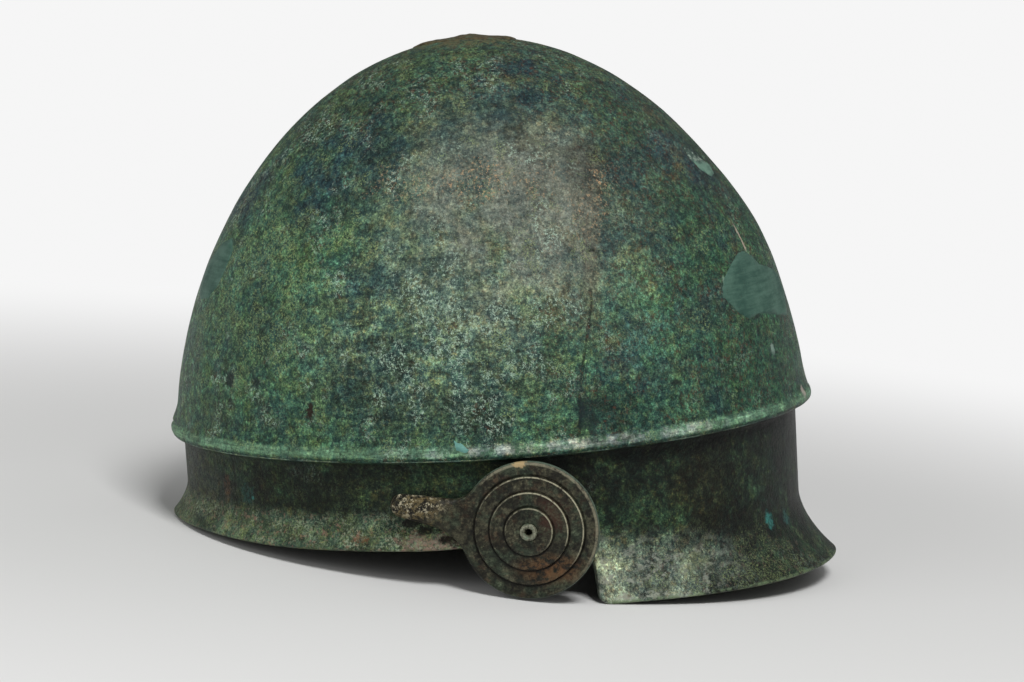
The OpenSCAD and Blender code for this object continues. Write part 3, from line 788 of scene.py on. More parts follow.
# %% [markdown]
# On the crown sits a crust of iron rust, perhaps left by something that lay against the helmet in the
# ground. It is a low lens with ragged sides and two soft bumps. A flat chain is spun, and its rows are laid
# on the dome, with the lower rows a little inside the bronze.
# %% Crust on the crown
CRUST_LEN, CRUST_W, CRUST_T, CRUST_FOOT = 38, 17, 1.3, -0.5
CRUST_Y, BUMP_Y, BUMP_GAP = 0.2, -0.5, 16
CRUST_ROWS, CRUST_COLUMNS = 30, 120
DOME_SHARE, BUMP_SHARE, WORN_SHARE = 0.7, 0.3, 0.85
# The side's two waves and its tatters, as shares of the crust's size
BROAD_WAVE, SHORT_WAVE, TATTER, TATTER_MEAN = 0.12, 0.06, 0.09, 0.6
# Depth and size of the crust's fine and coarse grit
FINE_GRIT, COARSE_GRIT = (0.22, 1.6), (0.25, 4)


def crown_height(x, y):
    return DOME_H * (1 - math.hypot(x / HALF_W, y / HALF_LEN) ** 2) ** (1 / DOME_FULL)


def crust_point(k, turn, top):
    """A point of the crust: k is 0 in its middle and 1 at its side."""
    ragged = 1 + BROAD_WAVE * sin(3 * turn) + SHORT_WAVE * sin(7 * turn)
    ragged += TATTER * (noise.noise(Vector((cos(turn), sin(turn), 0)) * 4) - TATTER_MEAN)
    x = CRUST_W / 2 * k * ragged * cos(turn)
    y = CRUST_Y + CRUST_LEN / 2 * k * ragged * sin(turn)
    spot = Vector((x, y, 0))
    swell = math.sqrt(max(1 - k * k, 0)) * (DOME_SHARE + BUMP_SHARE * cos(360 * (y - BUMP_Y) / BUMP_GAP))
    fine_grit, coarse_grit = (
        depth * noise.noise(spot / size) for depth, size in (FINE_GRIT, COARSE_GRIT))
    grit = swell * (fine_grit + coarse_grit)
    rise = CRUST_T * swell * WORN_SHARE + grit if top else CRUST_FOOT
    return Vector((x, y, crown_height(x, y) + rise))


shares = [k / CRUST_ROWS for k in range(CRUST_ROWS + 1)]
upper_rows = [(0, -share, 1) for share in shares]
lower_rows = [(0, -share, 0) for share in reversed(shares)]
bm, row = spin_chain(upper_rows + lower_rows, CRUST_COLUMNS)
for vert in bm.verts:
    k = min(math.hypot(vert.co.x, vert.co.y), 1)
    vert.co = crust_point(k, math.degrees(math.atan2(vert.co.y, vert.co.x)), vert.co.z > 0.5)
crust = make_piece("crown_crust", bm, STANDING, crisp=60)
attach(crust, "helmet")
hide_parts("crown_residue")

# %% [markdown]
# Every finish is written with nodes. A node's output is wrapped so that it can be used in a sum like a
# number, which keeps a recipe short and readable. All patterns are laid out in millimetres on the level
# helmet or in the frame of a disc: the object's own coordinates are turned back from standing to that frame
# first, so a pattern stays on its piece and has its true size.
# %% Wrap shader sockets so that they can be used in sums
def paint(red, green, blue):
    """Turns a colour as a screen shows it, from 0 to 255, into one that the shader takes."""
    return tuple(c / 12.92 if c <= 0.04045 else ((c + 0.055) / 1.055) ** 2.4
                 for c in (red / 255, green / 255, blue / 255))


def operator(step, swapped=False):
    """Makes one operator of a Signal. The swapped form is for a number that stands before the Signal."""
    def add_step(self, other):
        sides = (other, self) if swapped else (self, other)
        return self.recipe.reckon(step, *sides)
    return add_step


class Signal:
    """A node's output, which can be added, subtracted and multiplied like a number."""
    __add__, __radd__ = operator("ADD"), operator("ADD", swapped=True)
    __sub__, __rsub__ = operator("SUBTRACT"), operator("SUBTRACT", swapped=True)
    __mul__, __rmul__ = operator("MULTIPLY"), operator("MULTIPLY", swapped=True)
    __rpow__ = operator("POWER", swapped=True)

    def __init__(self, recipe, socket):
        self.recipe = recipe
        self.socket = socket

    def __abs__(self):
        return self.recipe.reckon("ABSOLUTE", self, 0)

    def rise(self, low, high):
        """Eases from 0 at low to 1 at high, or falls where low is above high."""
        return self.recipe.node("ShaderNodeMapRange", {"Value": self, "From Min": low, "From Max": high},
                                interpolation_type="SMOOTHSTEP")

    def swing(self, amount):
        """Turns a noise, whose mean is a half, into a swing to both sides of nought."""
        return (self - 0.5) * amount


# %% A recipe adds nodes to one material
# How far each step of a seed moves a noise along the three axes
SEED_SHIFT = (7.3, 3.1, 5.7)


class Recipe:
    """One material. Its x, y and z are the place in millimetres in the frame of its pattern."""

    def __init__(self, name, frame_of_pattern, mirrored=False):
        self.material = bpy.data.materials.new(name)
        self.material.use_nodes = True
        self.tree = self.material.node_tree
        self.shader = self.tree.nodes["Principled BSDF"]
        to_pattern = frame_of_pattern.inverted()
        mirror = -1 if mirrored else 1
        self.coords = self.node("ShaderNodeTexCoord", output="Object")
        self.place = self.node("ShaderNodeMapping", {
            "Vector": self.coords, "Location": to_pattern.translation,
            "Rotation": to_pattern.to_euler(), "Scale": (mirror / MM, 1 / MM, 1 / MM)})
        self.x, self.y, self.z = (
            self.node("ShaderNodeSeparateXYZ", {0: self.place}, output=i) for i in range(3))

    def node(self, kind, inputs=None, output=0, **settings):
        """Adds any node, feeds its inputs and returns one output."""
        node = self.tree.nodes.new(kind)
        for setting, value in settings.items():
            setattr(node, setting, value)
        for name, value in (inputs or {}).items():
            self.feed(node.inputs[name], value)
        return Signal(self, node.outputs[output])

    def feed(self, socket, value):
        if isinstance(value, Signal):
            self.tree.links.new(value.socket, socket)
        elif socket.type == "RGBA":
            socket.default_value = (*value, 1)
        elif socket.type == "VECTOR" and not hasattr(value, "__len__"):
            socket.default_value = (value,) * 3
        else:
            socket.default_value = value

    def reckon(self, operation, a, b):
        """One step of a sum, on numbers or on colours and places."""
        wide = any(side.socket.type != "VALUE" if isinstance(side, Signal) else hasattr(side, "__len__")
                   for side in (a, b))
        kind = "ShaderNodeVectorMath" if wide else "ShaderNodeMath"
        return self.node(kind, {0: a, 1: b}, operation=operation)

    def length(self, place):
        return self.node("ShaderNodeVectorMath", {0: place}, output=1, operation="LENGTH")

    def blend(self, a, b, share):
        """Colour a, going over to colour b where share is 1."""
        return self.node("ShaderNodeMix", {0: share, 6: a, 7: b}, output=2, data_type="RGBA")

    def coats(self, color, *layers):
        """Lays thin coats over a colour: each is a colour as a screen shows it, and where it lies."""
        if not isinstance(color, Signal):
            color = paint(*color)
        for red_green_blue, share in layers:
            color = self.blend(color, paint(*red_green_blue), share)
        return color

    def noise(self, size, detail=3, rough=0.6, seed=0, stretch=(1, 1, 1)):
        """Noise whose largest spots are about size millimetres."""
        place = self.place * tuple(s / size for s in stretch) + tuple(seed * shift for shift in SEED_SHIFT)
        return self.node("ShaderNodeTexNoise", {
            "Vector": place, "Scale": 1.0, "Detail": detail, "Roughness": rough})

    def worms(self, size, width, seed=0):
        """Thin crooked lines: they lie where a noise passes its middle value."""
        return abs(self.noise(size, 4, 0.7, seed) - 0.5).rise(width, width * 0.3)

    def near(self, spot, radius, soft=0.5, squash=(1, 1, 1), ragged=None):
        """1 near a spot, easing to 0 across the radius; a noise can make its edge ragged."""
        apart = (self.place - tuple(spot)) * tuple(1 / s for s in squash)
        away = self.length(apart)
        if ragged:
            away = away + ragged.swing(radius * 4)
        return away.rise(radius * (1 + soft), radius * (1 - soft))

    def finish(self, color, rough, height, specular=0.3):
        """Feeds the shader: height is in millimetres and becomes the bump. A patina isn't metallic."""
        self.feed(self.shader.inputs["Base Color"], color)
        self.feed(self.shader.inputs["Roughness"], rough)
        self.shader.inputs["Metallic"].default_value = 0.0
        self.shader.inputs["Specular IOR Level"].default_value = specular
        bump = self.node("ShaderNodeBump", {"Height": height, "Distance": MM, "Strength": 1.0})
        self.feed(self.shader.inputs["Normal"], bump)
        return self.material


def dress(piece, material):
    piece.data.materials.clear()
    piece.data.materials.append(material)


# %% [markdown]
# The patina. Bronze in the ground grows a skin of green copper salts. It is never one green: it is a fine
# speckle of dark and light grains, over clouds, with horizontal streaks where it was cleaned, a paler rubbed
# part at the temple that also carries a painted sheen, slate-blue and rusty places, and a dark groove where
# dirt stays and where shade under the ridge is painted in. The recipe has two halves: a mean colour for each
# zone, and a speckle that makes that colour darker or lighter. The speckle is counted in stops, as a
# photographer does: one stop up doubles the light. First come the noises it is made of: round ones from the
# broadest to the finest, and then three that are drawn out into streaks.
# %% Patina of the bowl: its noises
patina = Recipe("green_patina", STANDING)
x, y, z = patina.x, patina.y, patina.z
banks = patina.noise(46, 3, 0.55, 4)
clouds = patina.noise(17, 6, 0.62, 3)
grains = patina.noise(4.5, 7, 0.78, 2)
crumbs = patina.noise(2.3, 4, 0.72, 8).rise(0.43, 0.57)
fine = patina.noise(1.1, 3, 0.8, 1)
dust = patina.noise(0.6, 2, 0.9, 21)
streaks = patina.noise(2.6, 6, 0.75, 5, (0.13, 0.13, 1))
strokes = patina.noise(1.5, 5, 0.8, 22, (1, 1, 0.12))
brushed = patina.noise(1.0, 4, 0.75, 28, (0.1, 0.1, 1))
wander = clouds.swing(1.2) + banks.swing(1.2)
print("noises:", len(patina.tree.nodes), "nodes")


# %% [markdown]
# A zone is a mask that is 1 inside and 0 outside. Heights on the level helmet bound the groove, the crest
# of the ridge, the brim's lip and the guard's flare. A spot with a radius bounds the rubbed and the streaky
# part. The seam is a distance in mm: it is nought on a nearly upright line behind the temple.
# %% Patina of the bowl: where its zones lie
def around(turn, height, radius, soft=0.5, squash=(1, 1, 1), ragged=None):
    """1 near a place on the bowl, given as a turn in degrees and a height in mm."""
    return patina.near(on_bowl(turn, height), radius, soft, squash, ragged)


seam = y - z.rise(5, 60) * 7 - 30 + clouds.swing(5) + x.rise(10, 0) * 99
# The temple was rubbed pale, and the same mask also paints a soft sheen there.
rubbed_and_sheen = around(98, 82, 40, 0.6, (1, 1.05, 0.95)) * (wander + 0.8).rise(0.3, 0.9)
rubbed_and_sheen = rubbed_and_sheen * (1 - seam.rise(0, 8) * 0.5)
streaky = around(78, 42, 56, 0.5, (1, 1, 0.7)) * 0.8 + 0.2
groove = z.rise(-1.6, -3.6)
behind = y.rise(-20, 40)
lip = z.rise(-19, -25) * y.rise(12, -4)
flare = (z + (y - 70) * 0.15).rise(-33, -50) * y.rise(26, 34)
crest = z.rise(-1.0, 0.4) * z.rise(4.0, 1.8)
calm = rubbed_and_sheen * 0.8 + crest * 0.7 + flare * 0.4

# %% Patina of the bowl: the speckle
stops = grains.swing(6) + crumbs.swing(1.1 - (lip + flare) * 0.7)
stops = stops + fine.swing(6) + dust.swing(5)
stops = stops + clouds.swing(2) + streaks.swing(streaky) * 4.6
stops = stops * (1 - rubbed_and_sheen * 0.45 - crest * 0.5)  # calmer where it was rubbed, and in the painted sheen
stops = stops + brushed.swing(crest) * 5  # fine lines along the ridge
stops = stops + strokes.swing(groove * 2.2 + rubbed_and_sheen * 1.6)  # upright strokes
stops = stops + clouds.swing(lip * 2 + flare * 3 + groove * behind * 5)  # broad blotches
stops = stops - groove * z.rise(-10, -3.4) * (behind * 1.5 + 0.3)  # a shadow under the ridge
stops = stops - y.rise(52, 96) * 0.2  # a little darker at the back: painted shade where the dome turns away from the light
stops = stops - groove * (0.5 + y.rise(30, 70) * 0.7)  # dirt in the groove, with painted shade in it
stops = stops + grains.swing(groove) * behind * 3  # coarser grains in it
stops = stops - z.rise(-0.2, -1.5) * z.rise(-3.2, -2.2) * 0.7  # a dark line under the ridge: painted shade on its underside
# Broad places made lighter or darker: some are the patina's own tone, and some are painted light and shade,
# such as a painted shadow just above the ridge and painted light on the guard's flare.
TONES_AND_PAINTED_LIGHT = [
    # turn round the bowl, height and radius of broad places, and how many stops they are lighter or darker
    (70, 27, 16, -0.75), (87, 12, 12, -0.85), (74, 7, 9, -0.4), (111, 8, 11, -0.9), (96, 27, 13, -0.5),
    (105, 92, 13, -0.35), (121, 92, 12, -0.4), (118, 40, 18, 0.6), (98, 59, 13, 0.35), (62, 62, 11, 0.3),
    (126, 58, 12, 0.3), (153, -62, 15, 0.9), (122, -50, 16, 0.45), (161, 90, 9, -0.3), (33, 66, 9, 0.3),
    (111, -37, 11, 0.3), (118, -30, 10, 0.45), (68, -8, 11, 0.5), (80, 27, 20, -0.2), (57, 47, 14, 0.15),
    (112, 84, 13, 0.25), (104, -50, 7, -0.3),
]
for turn, height, radius, change in TONES_AND_PAINTED_LIGHT:
    stops = stops + around(turn, height, radius, 0.6) * change
print("speckle:", len(patina.tree.nodes), "nodes")

# %% [markdown]
# The colours are laid one over another like thin coats of paint, each with a mask that says where it lies.
# The noises make the masks' edges wander, so that no zone has a drawn outline.
# %% Patina of the bowl: the colours of the dome
ground = patina.coats(
    (56, 86, 70),
    ((48, 76, 58), (wander + 0.5).rise(0.35, 0.75)),  # deeper green banks
    ((50, 72, 58), z.rise(84, 116)),  # greyer towards the crown
    ((40, 62, 49), y.rise(30, 66) * z.rise(52, 84) * 0.8),  # darker behind the crown
    ((34, 70, 50), y.rise(66, 100) * 0.6),  # a fresher green at the back
    ((78, 100, 86), around(80, 38, 44, 0.6, (1, 1, 0.62)) * (wander + 0.75).rise(0.2, 0.9)),  # paler side
    ((106, 112, 102), rubbed_and_sheen),  # the rubbed temple, with a painted sheen on it
)
TEAL = [
    # turn round the bowl, height and radius of the slate-blue places
    (94, 118, 15), (123, 125, 13), (58, 100, 17), (46, 97, 14), (67, 60, 10), (-120, 108, 18),
    (-50, 72, 16), (-100, 50, 14), (15, 88, 12), (-20, 80, 16), (-160, 60, 16), (150, 92, 12),
    (116, 34, 12),
]
teal = 0
for turn, height, radius in TEAL:
    teal = around(turn, height, radius, 0.6, ragged=clouds) + teal
teal = teal * 0.7 + patina.noise(20, 6, 0.68, 6).rise(0.5, 0.62) * (y.rise(10, 50) * 0.25 + 0.4)
brown = patina.noise(15, 6, 0.7, 7).rise(0.54, 0.66) * (y.rise(-20, 50) * z.rise(10, 60) + 0.35)
ground = patina.coats(ground, ((38, 60, 62), teal), ((70, 68, 50), brown * 0.6))

# %% Patina of the bowl: the colours of the groove, the brim, the guard and the ridge
# The groove is dark from the dirt in it, and also from painted shade under the ridge.
groove_color = patina.coats(
    (28, 38, 27),
    ((42, 60, 43), (clouds + (banks - 0.5)).rise(0.45, 0.66)),  # green patches in the dirt
    ((54, 52, 34), patina.noise(11, 6, 0.75, 15).rise(0.54, 0.66) * 0.5),  # earth
    ((24, 32, 24), y.rise(24, 50) * z.rise(-30, -14) * 0.6),  # darkest behind the disc: dirt, and painted shade under the ridge
    ((66, 68, 44), around(129, -24, 13, 0.6, ragged=clouds) * 0.6),  # an olive place over the guard
    ((58, 66, 52), around(18, -20, 24, 0.6, ragged=clouds) * 0.7),  # a paler place at the front
)
ground = patina.blend(ground, groove_color, groove)
ground = patina.coats(ground, ((74, 92, 70), lip * (wander + 0.8).rise(0.3, 0.8)))
flare_color = patina.coats((102, 112, 99), ((40, 62, 44), y.rise(62, 102)))
ground = patina.blend(ground, flare_color, flare * (wander + 0.9).rise(0.3, 0.8))
worn_and_highlit = patina.noise(7, 5, 0.7, 16).rise(0.42, 0.6) * abs(y - 28).rise(75, 25)
crease = z.rise(-2.35, -2.15) * z.rise(-1.5, -1.8)
crease = crease * (clouds + (0.06 - 0.1 * y.rise(0, 40))).rise(0.42, 0.54)
ground = patina.coats(
    ground,
    ((95, 130, 103), crest * (0.6 + 0.4 * clouds.rise(0.4, 0.58))),  # the ridge's green, lighter on the crest as a painted highlight
    ((168, 176, 168), crest * worn_and_highlit),  # its rubbed places, which also paint the crest's highlight
    ((150, 168, 146), crease * 0.9),  # a pale line under it
)


# %% Patina of the bowl: tints and the line behind the temple
def tint(color, low, high, mask):
    """Multiplies the colour by low, going over to high, and less so in the calm parts."""
    return color * patina.blend(patina.blend(low, high, mask), (1, 1, 1), calm)


warmth = patina.noise(7, 6, 0.75, 23).rise(0.42, 0.58) - y.rise(20, 60) * 0.3
ground = tint(ground, (0.84, 0.98, 1.12), (1.12, 1.02, 0.84), warmth)
ground = tint(ground, (0.86, 0.98, 1.10), (1.12, 1.03, 0.84), stops.rise(-0.9, 1.0))
ground = tint(ground, (0.97, 1.01, 0.99), (1.28, 0.92, 0.80), patina.noise(2.4, 4, 0.8, 24).rise(0.52, 0.6))

seam_line = abs(seam).rise(0.7, 0.3) * z.rise(3, 5) * z.rise(56, 50)
stops = stops - seam_line * grains.rise(0.38, 0.48) * 1.4
seam_band = (abs(seam) - z.rise(50, 100) * 4).rise(3.5, 0.5) * z.rise(36, 60) * z.rise(106, 96)
ground = patina.coats(ground, ((78, 78, 68), seam_band * (grains + 0.05).rise(0.4, 0.52) * 0.6))
skin = ground * 2 ** stops
print("zones:", len(patina.tree.nodes), "nodes")

# %% [markdown]
# Over the speckle lie small bright and dark things: mint and olive flecks, chalk on the guard, bare copper
# in the rubbed part, rust specks, grit and pits. Most are a fine noise of which only the tops are kept, and
# some are gathered in clusters by a broader one.
# %% Patina of the bowl: flecks on the dome, the brim and the guard
clusters = patina.noise(13, 4, 0.6, 17)
mint = patina.worms(3.4, 0.03, 18) * (fine + 0.2).rise(0.6, 0.8)
mint = mint * (clusters + around(82, 38, 30, 0.6) * 0.14 + flare * 0.05).rise(0.52, 0.66)
olive_clusters = around(36, 62, 40, 0.5) * 0.12 + (lip + flare) * 0.06 + around(142, -58, 24, 0.5) * 0.12
olive = patina.worms(1.9, 0.035, 19) * (dust + 0.2).rise(0.6, 0.8)
olive = olive * (olive_clusters + patina.noise(10, 4, 0.6, 20)).rise(0.54, 0.68)
chalk = patina.noise(6, 6, 0.74, 25, (0.8, 0.8, 1.6)).rise(0.5, 0.57) * (crumbs * 0.6 + 0.4)
lip_flecks = patina.noise(1.1, 4, 0.8, 27).rise(0.5, 0.6)
lip_flecks = lip_flecks * (patina.noise(8, 4, 0.7, 30) + y.rise(-70, -20) * 0.1).rise(0.4, 0.62)
pinkish = patina.noise(2.1, 4, 0.8, 26).rise(0.56, 0.62)
sole = z + GUARD_DROP + (y - GUARD_Y) * math.tan(math.radians(GUARD_FALL))
skin = patina.coats(
    skin,
    ((176, 202, 182), mint * (1 - groove * 0.8 + flare * 0.7 - y.rise(30, 50) * 0.6) * 0.9),
    ((150, 168, 112), olive * (1 - groove * 0.8 + lip * 0.7 + flare * 0.6) * 0.9),
    ((158, 164, 150), chalk * flare * y.rise(96, 58) * 0.85),
    ((142, 156, 130), lip_flecks * lip * 0.9),
    ((152, 118, 102), pinkish * (lip * 0.5 + flare * 0.2)),
    # a pale line along the guard's lower edge: wear, and a painted glint
    ((112, 132, 98), sole.rise(1.7, 0.9) * y.rise(31, 34) * grains.rise(0.44, 0.54) * 0.7),
)

# %% Patina of the bowl: copper, rust, grit and pits
copper = (around(89, 92, 24, 0.5, (1, 1.3, 0.26), clouds)
          + around(114, 82, 8, 0.5, (1, 0.8, 1.4), clouds) * 0.65
          + around(108, 70, 26, 0.6, ragged=clouds) * 0.25)
copper = patina.noise(1.1, 3, 0.8, 11).rise(0.56, 0.63) * copper
rust = patina.noise(1.6, 5, 0.85, 10).rise(0.54, 0.6) * (1 - calm) * (1 - groove * 0.85)
rust = rust * (clusters - 0.1 + y.rise(0, 50) * 0.1 + z.rise(96, 126) * 0.1
               + around(126, 98, 26, 0.6) * 0.12).rise(0.4, 0.56)
grit = patina.noise(1.3, 3, 0.85, 12).rise(0.6, 0.68)
pits = patina.noise(2.6, 5, 0.8, 13).rise(0.4, 0.32)
skin = patina.coats(
    skin,
    ((176, 148, 114), copper * 0.8),
    ((84, 54, 38), rust * 0.75),
    ((146, 160, 142), grit * (0.35 + crest * 0.4) * (1 - groove * 0.9 + (lip + flare) * 0.8)),
    ((22, 32, 28), pits * 0.8),
)

# %% [markdown]
# Some marks can be pointed at: the brown stain round the crust, corroded spots, turquoise specks, the print
# that the disc's arm left on the brim with a painted shadow of the arm beside it, and two thin scratches.
# Each has its place.
# %% Patina of the bowl: single marks
STAIN_SPOT, STAIN_GAP_SPOT = (3, 1, 134), (10, 9, 134)
stain = patina.near(STAIN_SPOT, 12.5, 0.3, (1, 1.5, 1), grains)
stain = stain * (1 - patina.near(STAIN_GAP_SPOT, 5, 0.4, ragged=crumbs))
skin = patina.coats(skin, ((96, 88, 60), stain * (crumbs * 0.4 + 0.4)))
# The speckle breaks up the marks that are larger than this
LARGE_MARK = 2.5
MARKS = [
    # turn round the bowl, height, radius, colour, strength and shape
    (57, 16, 1.5, (40, 26, 20), 0.95, (1, 0.8, 1.9)),
    (147, 0, 1.8, (34, 26, 22), 0.8, (1, 1, 1)),
    (124, 18, 1.4, (26, 32, 30), 0.8, (1, 1.6, 0.8)),
    (36, 24, 2.1, (20, 32, 32), 0.85, (1, 1, 1.3)),
    (44, 24, 1.6, (20, 32, 32), 0.8, (1, 1, 1.2)),
    (37, 17, 1.5, (20, 32, 32), 0.8, (1, 1, 1)),
    (106.5, 9, 5.5, (20, 32, 36), 0.9, (1, 0.8, 1.5)),
    (105, 17, 3.2, (24, 36, 40), 0.75, (1, 0.5, 2.4)),
    (153, 22, 1.4, (140, 162, 150), 0.7, (1, 1, 1.5)),
    (39, -17, 3.6, (40, 84, 78), 0.55, (1, 1.2, 1)),
    (41, -18, 0.7, (62, 130, 120), 0.6, (1, 1, 1)),
    (33, -16, 2.8, (96, 60, 38), 0.5, (1, 0.5, 1.5)),
    (149.5, -40.5, 2.6, (60, 142, 134), 0.7, (1, 1, 1.2)),
    (157, -42, 2.6, (58, 120, 116), 0.4, (1, 1, 1)),
    (125, -48, 5.5, (118, 126, 88), 0.45, (1, 1.3, 0.7)),
    (108, -52, 0.8, (180, 130, 120), 0.6, (1, 1, 1)),
    (79, -31, 6, (136, 108, 100), 0.7, (1, 1.9, 0.6)),
    # the painted shadow that the arm casts on the brim
    (74.5, -24, 2.4, (17, 14, 11), 0.9, (1, 1.6, 0.7)),
    (78, -26.6, 2.4, (17, 14, 11), 0.9, (1, 1.8, 0.75)),
    (81.5, -30, 2.4, (17, 14, 11), 0.9, (1, 1.6, 0.8)),
    (66, -30, 3.2, (112, 66, 40), 0.6, (1, 1.6, 0.5)),
    (165, 2, 2.4, (186, 172, 162), 0.7, (1, 1, 1)),
    (142, 48, 1.3, (150, 168, 152), 0.6, (1, 0.7, 4)),
    (150, 34.8, 1.0, (26, 34, 30), 0.8, (1.6, 1.6, 0.8)),
    (-62, 14, 2.0, (24, 34, 32), 0.8, (1, 1, 1.4)),
    (-110, 30, 3.0, (24, 34, 32), 0.7, (1, 1.3, 1)),
    (-140, -30, 2.4, (60, 136, 124), 0.5, (1, 1, 1)),
    (-35, -20, 3.4, (96, 60, 38), 0.5, (1, 0.8, 1)),
]
for turn, height, radius, color, strength, shape in MARKS:
    broken = fine.rise(0.4, 0.54) * 0.7 + crumbs * 0.3 if radius > LARGE_MARK else 1
    mark = around(turn, height, radius, 0.35, shape, grains) * broken * strength
    skin = patina.coats(skin, (color, mark))


def scratch(turn, width, low, high):
    """A thin line up the dome at a turn, from a low to a high height."""
    way = Vector(on_bowl(turn, 40).xy).normalized()
    aside = x * way.y - y * way.x + clouds.swing(5)
    ahead = (x * way.x + y * way.y).rise(0, 10)
    line = abs(aside).rise(width, width * 0.4) * ahead
    return line * z.rise(low - 1, low + 1) * z.rise(high + 2, high - 2)


skin = patina.coats(
    skin,
    ((180, 164, 148), scratch(153.8, 0.7, 58, 67) * (grains + 0.1).rise(0.44, 0.52) * 0.85),
    ((24, 34, 28), scratch(154.6, 0.5, 69, 85) * 0.6),
)

# %% [markdown]
# The inside is the same bronze, but nobody rubbed or cleaned it. A face belongs to the inside where its
# normal looks back at the middle of the helmet. Last come the bump, in millimetres, and the dull sheen.
# %% Patina of the bowl: the inside, the bump and the sheen
MIDDLE_H = 20
normal = patina.node("ShaderNodeTexCoord", output="Normal")
middle = STANDING @ Vector((0, 0, MIDDLE_H))
facing = patina.node("ShaderNodeVectorMath", {0: normal, 1: patina.coords - tuple(middle)}, output=1,
                     operation="DOT_PRODUCT")
inner_skin = patina.coats(
    (46, 56, 44),
    ((68, 78, 60), grains.rise(0.42, 0.6)),
    ((84, 66, 46), patina.noise(9, 5, 0.7, 14).rise(0.52, 0.66) * 0.7),
)
skin = patina.blend(skin, inner_skin * 2 ** fine.swing(3), facing.rise(-0.004, -0.012))
relief = grains.swing(0.8 + (lip + flare) * 0.3) + fine.swing(0.45) + streaks.swing(0.2)
relief = relief - pits * 0.15 + crumbs * 0.05
dress(bowl, patina.finish(skin, 0.44 + clouds.swing(0.3) + pits * 0.15, relief, 0.16))
print("patina:", len(patina.tree.nodes), "nodes")

# %% [markdown]
# The fills are smooth restorer's filler, toned to the green around them, with faint brush strokes. The chip
# in the ridge got a paler, bluer one, and on the upper fill a dark skin has grown above a certain height.
# %% Finish the fills
def filler(name, mean, dark, old_above=DOME_H):
    plaster = Recipe(name, STANDING)
    brush = plaster.noise(1.8, 4, 0.7, 1, (0.1, 0.1, 1))
    patches = plaster.noise(12, 4, 0.6, 2)
    grit = plaster.noise(0.9, 3, 0.8, 3)
    tone = plaster.coats(mean, (dark, (brush.swing(0.9) + patches).rise(0.30, 0.74)))
    tone = tone * (grit.swing(0.5) + 1)
    old = (plaster.z + patches.swing(12)).rise(old_above, old_above + 2.5)
    tone = plaster.coats(
        tone,
        ((60, 56, 44), plaster.noise(1.6, 3, 0.8, 4).rise(0.66, 0.72) * 0.7),  # brown specks
        ((40, 58, 52), old * 0.85),  # the dark skin
        ((150, 166, 152), old * plaster.noise(2.2, 5, 0.8, 5).rise(0.52, 0.57) * 0.75),  # chips in it
    )
    return plaster.finish(tone, 0.55 + patches.swing(0.2), brush.swing(0.12) + grit.swing(0.08), 0.14)


plain_filler = filler("toned_filler", (76, 106, 93), (48, 78, 68))
sliver_filler = filler("sliver_filler", (104, 136, 120), (70, 98, 86), 88)
pale_filler = filler("pale_filler", (112, 162, 152), (84, 128, 120))
for node, fill in fills.items():
    dress(fill, {"ridge_fill": pale_filler, "upper_back_fill": sliver_filler}.get(node, plain_filler))

# %% [markdown]
# The discs have a browner, smoother patina than the bowl. The lip of each step was rubbed pale, and on the
# upper right, towards the light, the lips and the rim's edge also get a painted highlight, while the dark
# feet of the steps get deeper painted shade on the lower left. Rust has run between the outer steps, and the
# arm's tip is pitted and ochre, with painted glints on its upper side. These patterns follow the disc, so
# they are laid out in the disc's own frame: distance from its centre gives the rings. The right disc is the
# left one's mirror image, so its pattern is mirrored too, with its rust and its chip in places of their own.
# %% The rings of a disc
RIM_HIGHLIGHT_R, TIP_SPOT, HEAD_STAIN_SPOT = 23.2, (-42, 10, 3), (8, 5, 3)


def rings(away):
    """Two masks: the lips of the three steps, and the dark line at the foot of each."""
    lips, feet = 0, 0
    for step in range(STEPS):
        past_edge = away - (DISC_R - (step + 1) * STEP_W)
        lips = past_edge.rise(-0.45, -0.25) * past_edge.rise(0.12, 0.0) + lips
        feet = past_edge.rise(0.1, 0.25) * past_edge.rise(1.1, 0.6) + feet
    return lips, feet


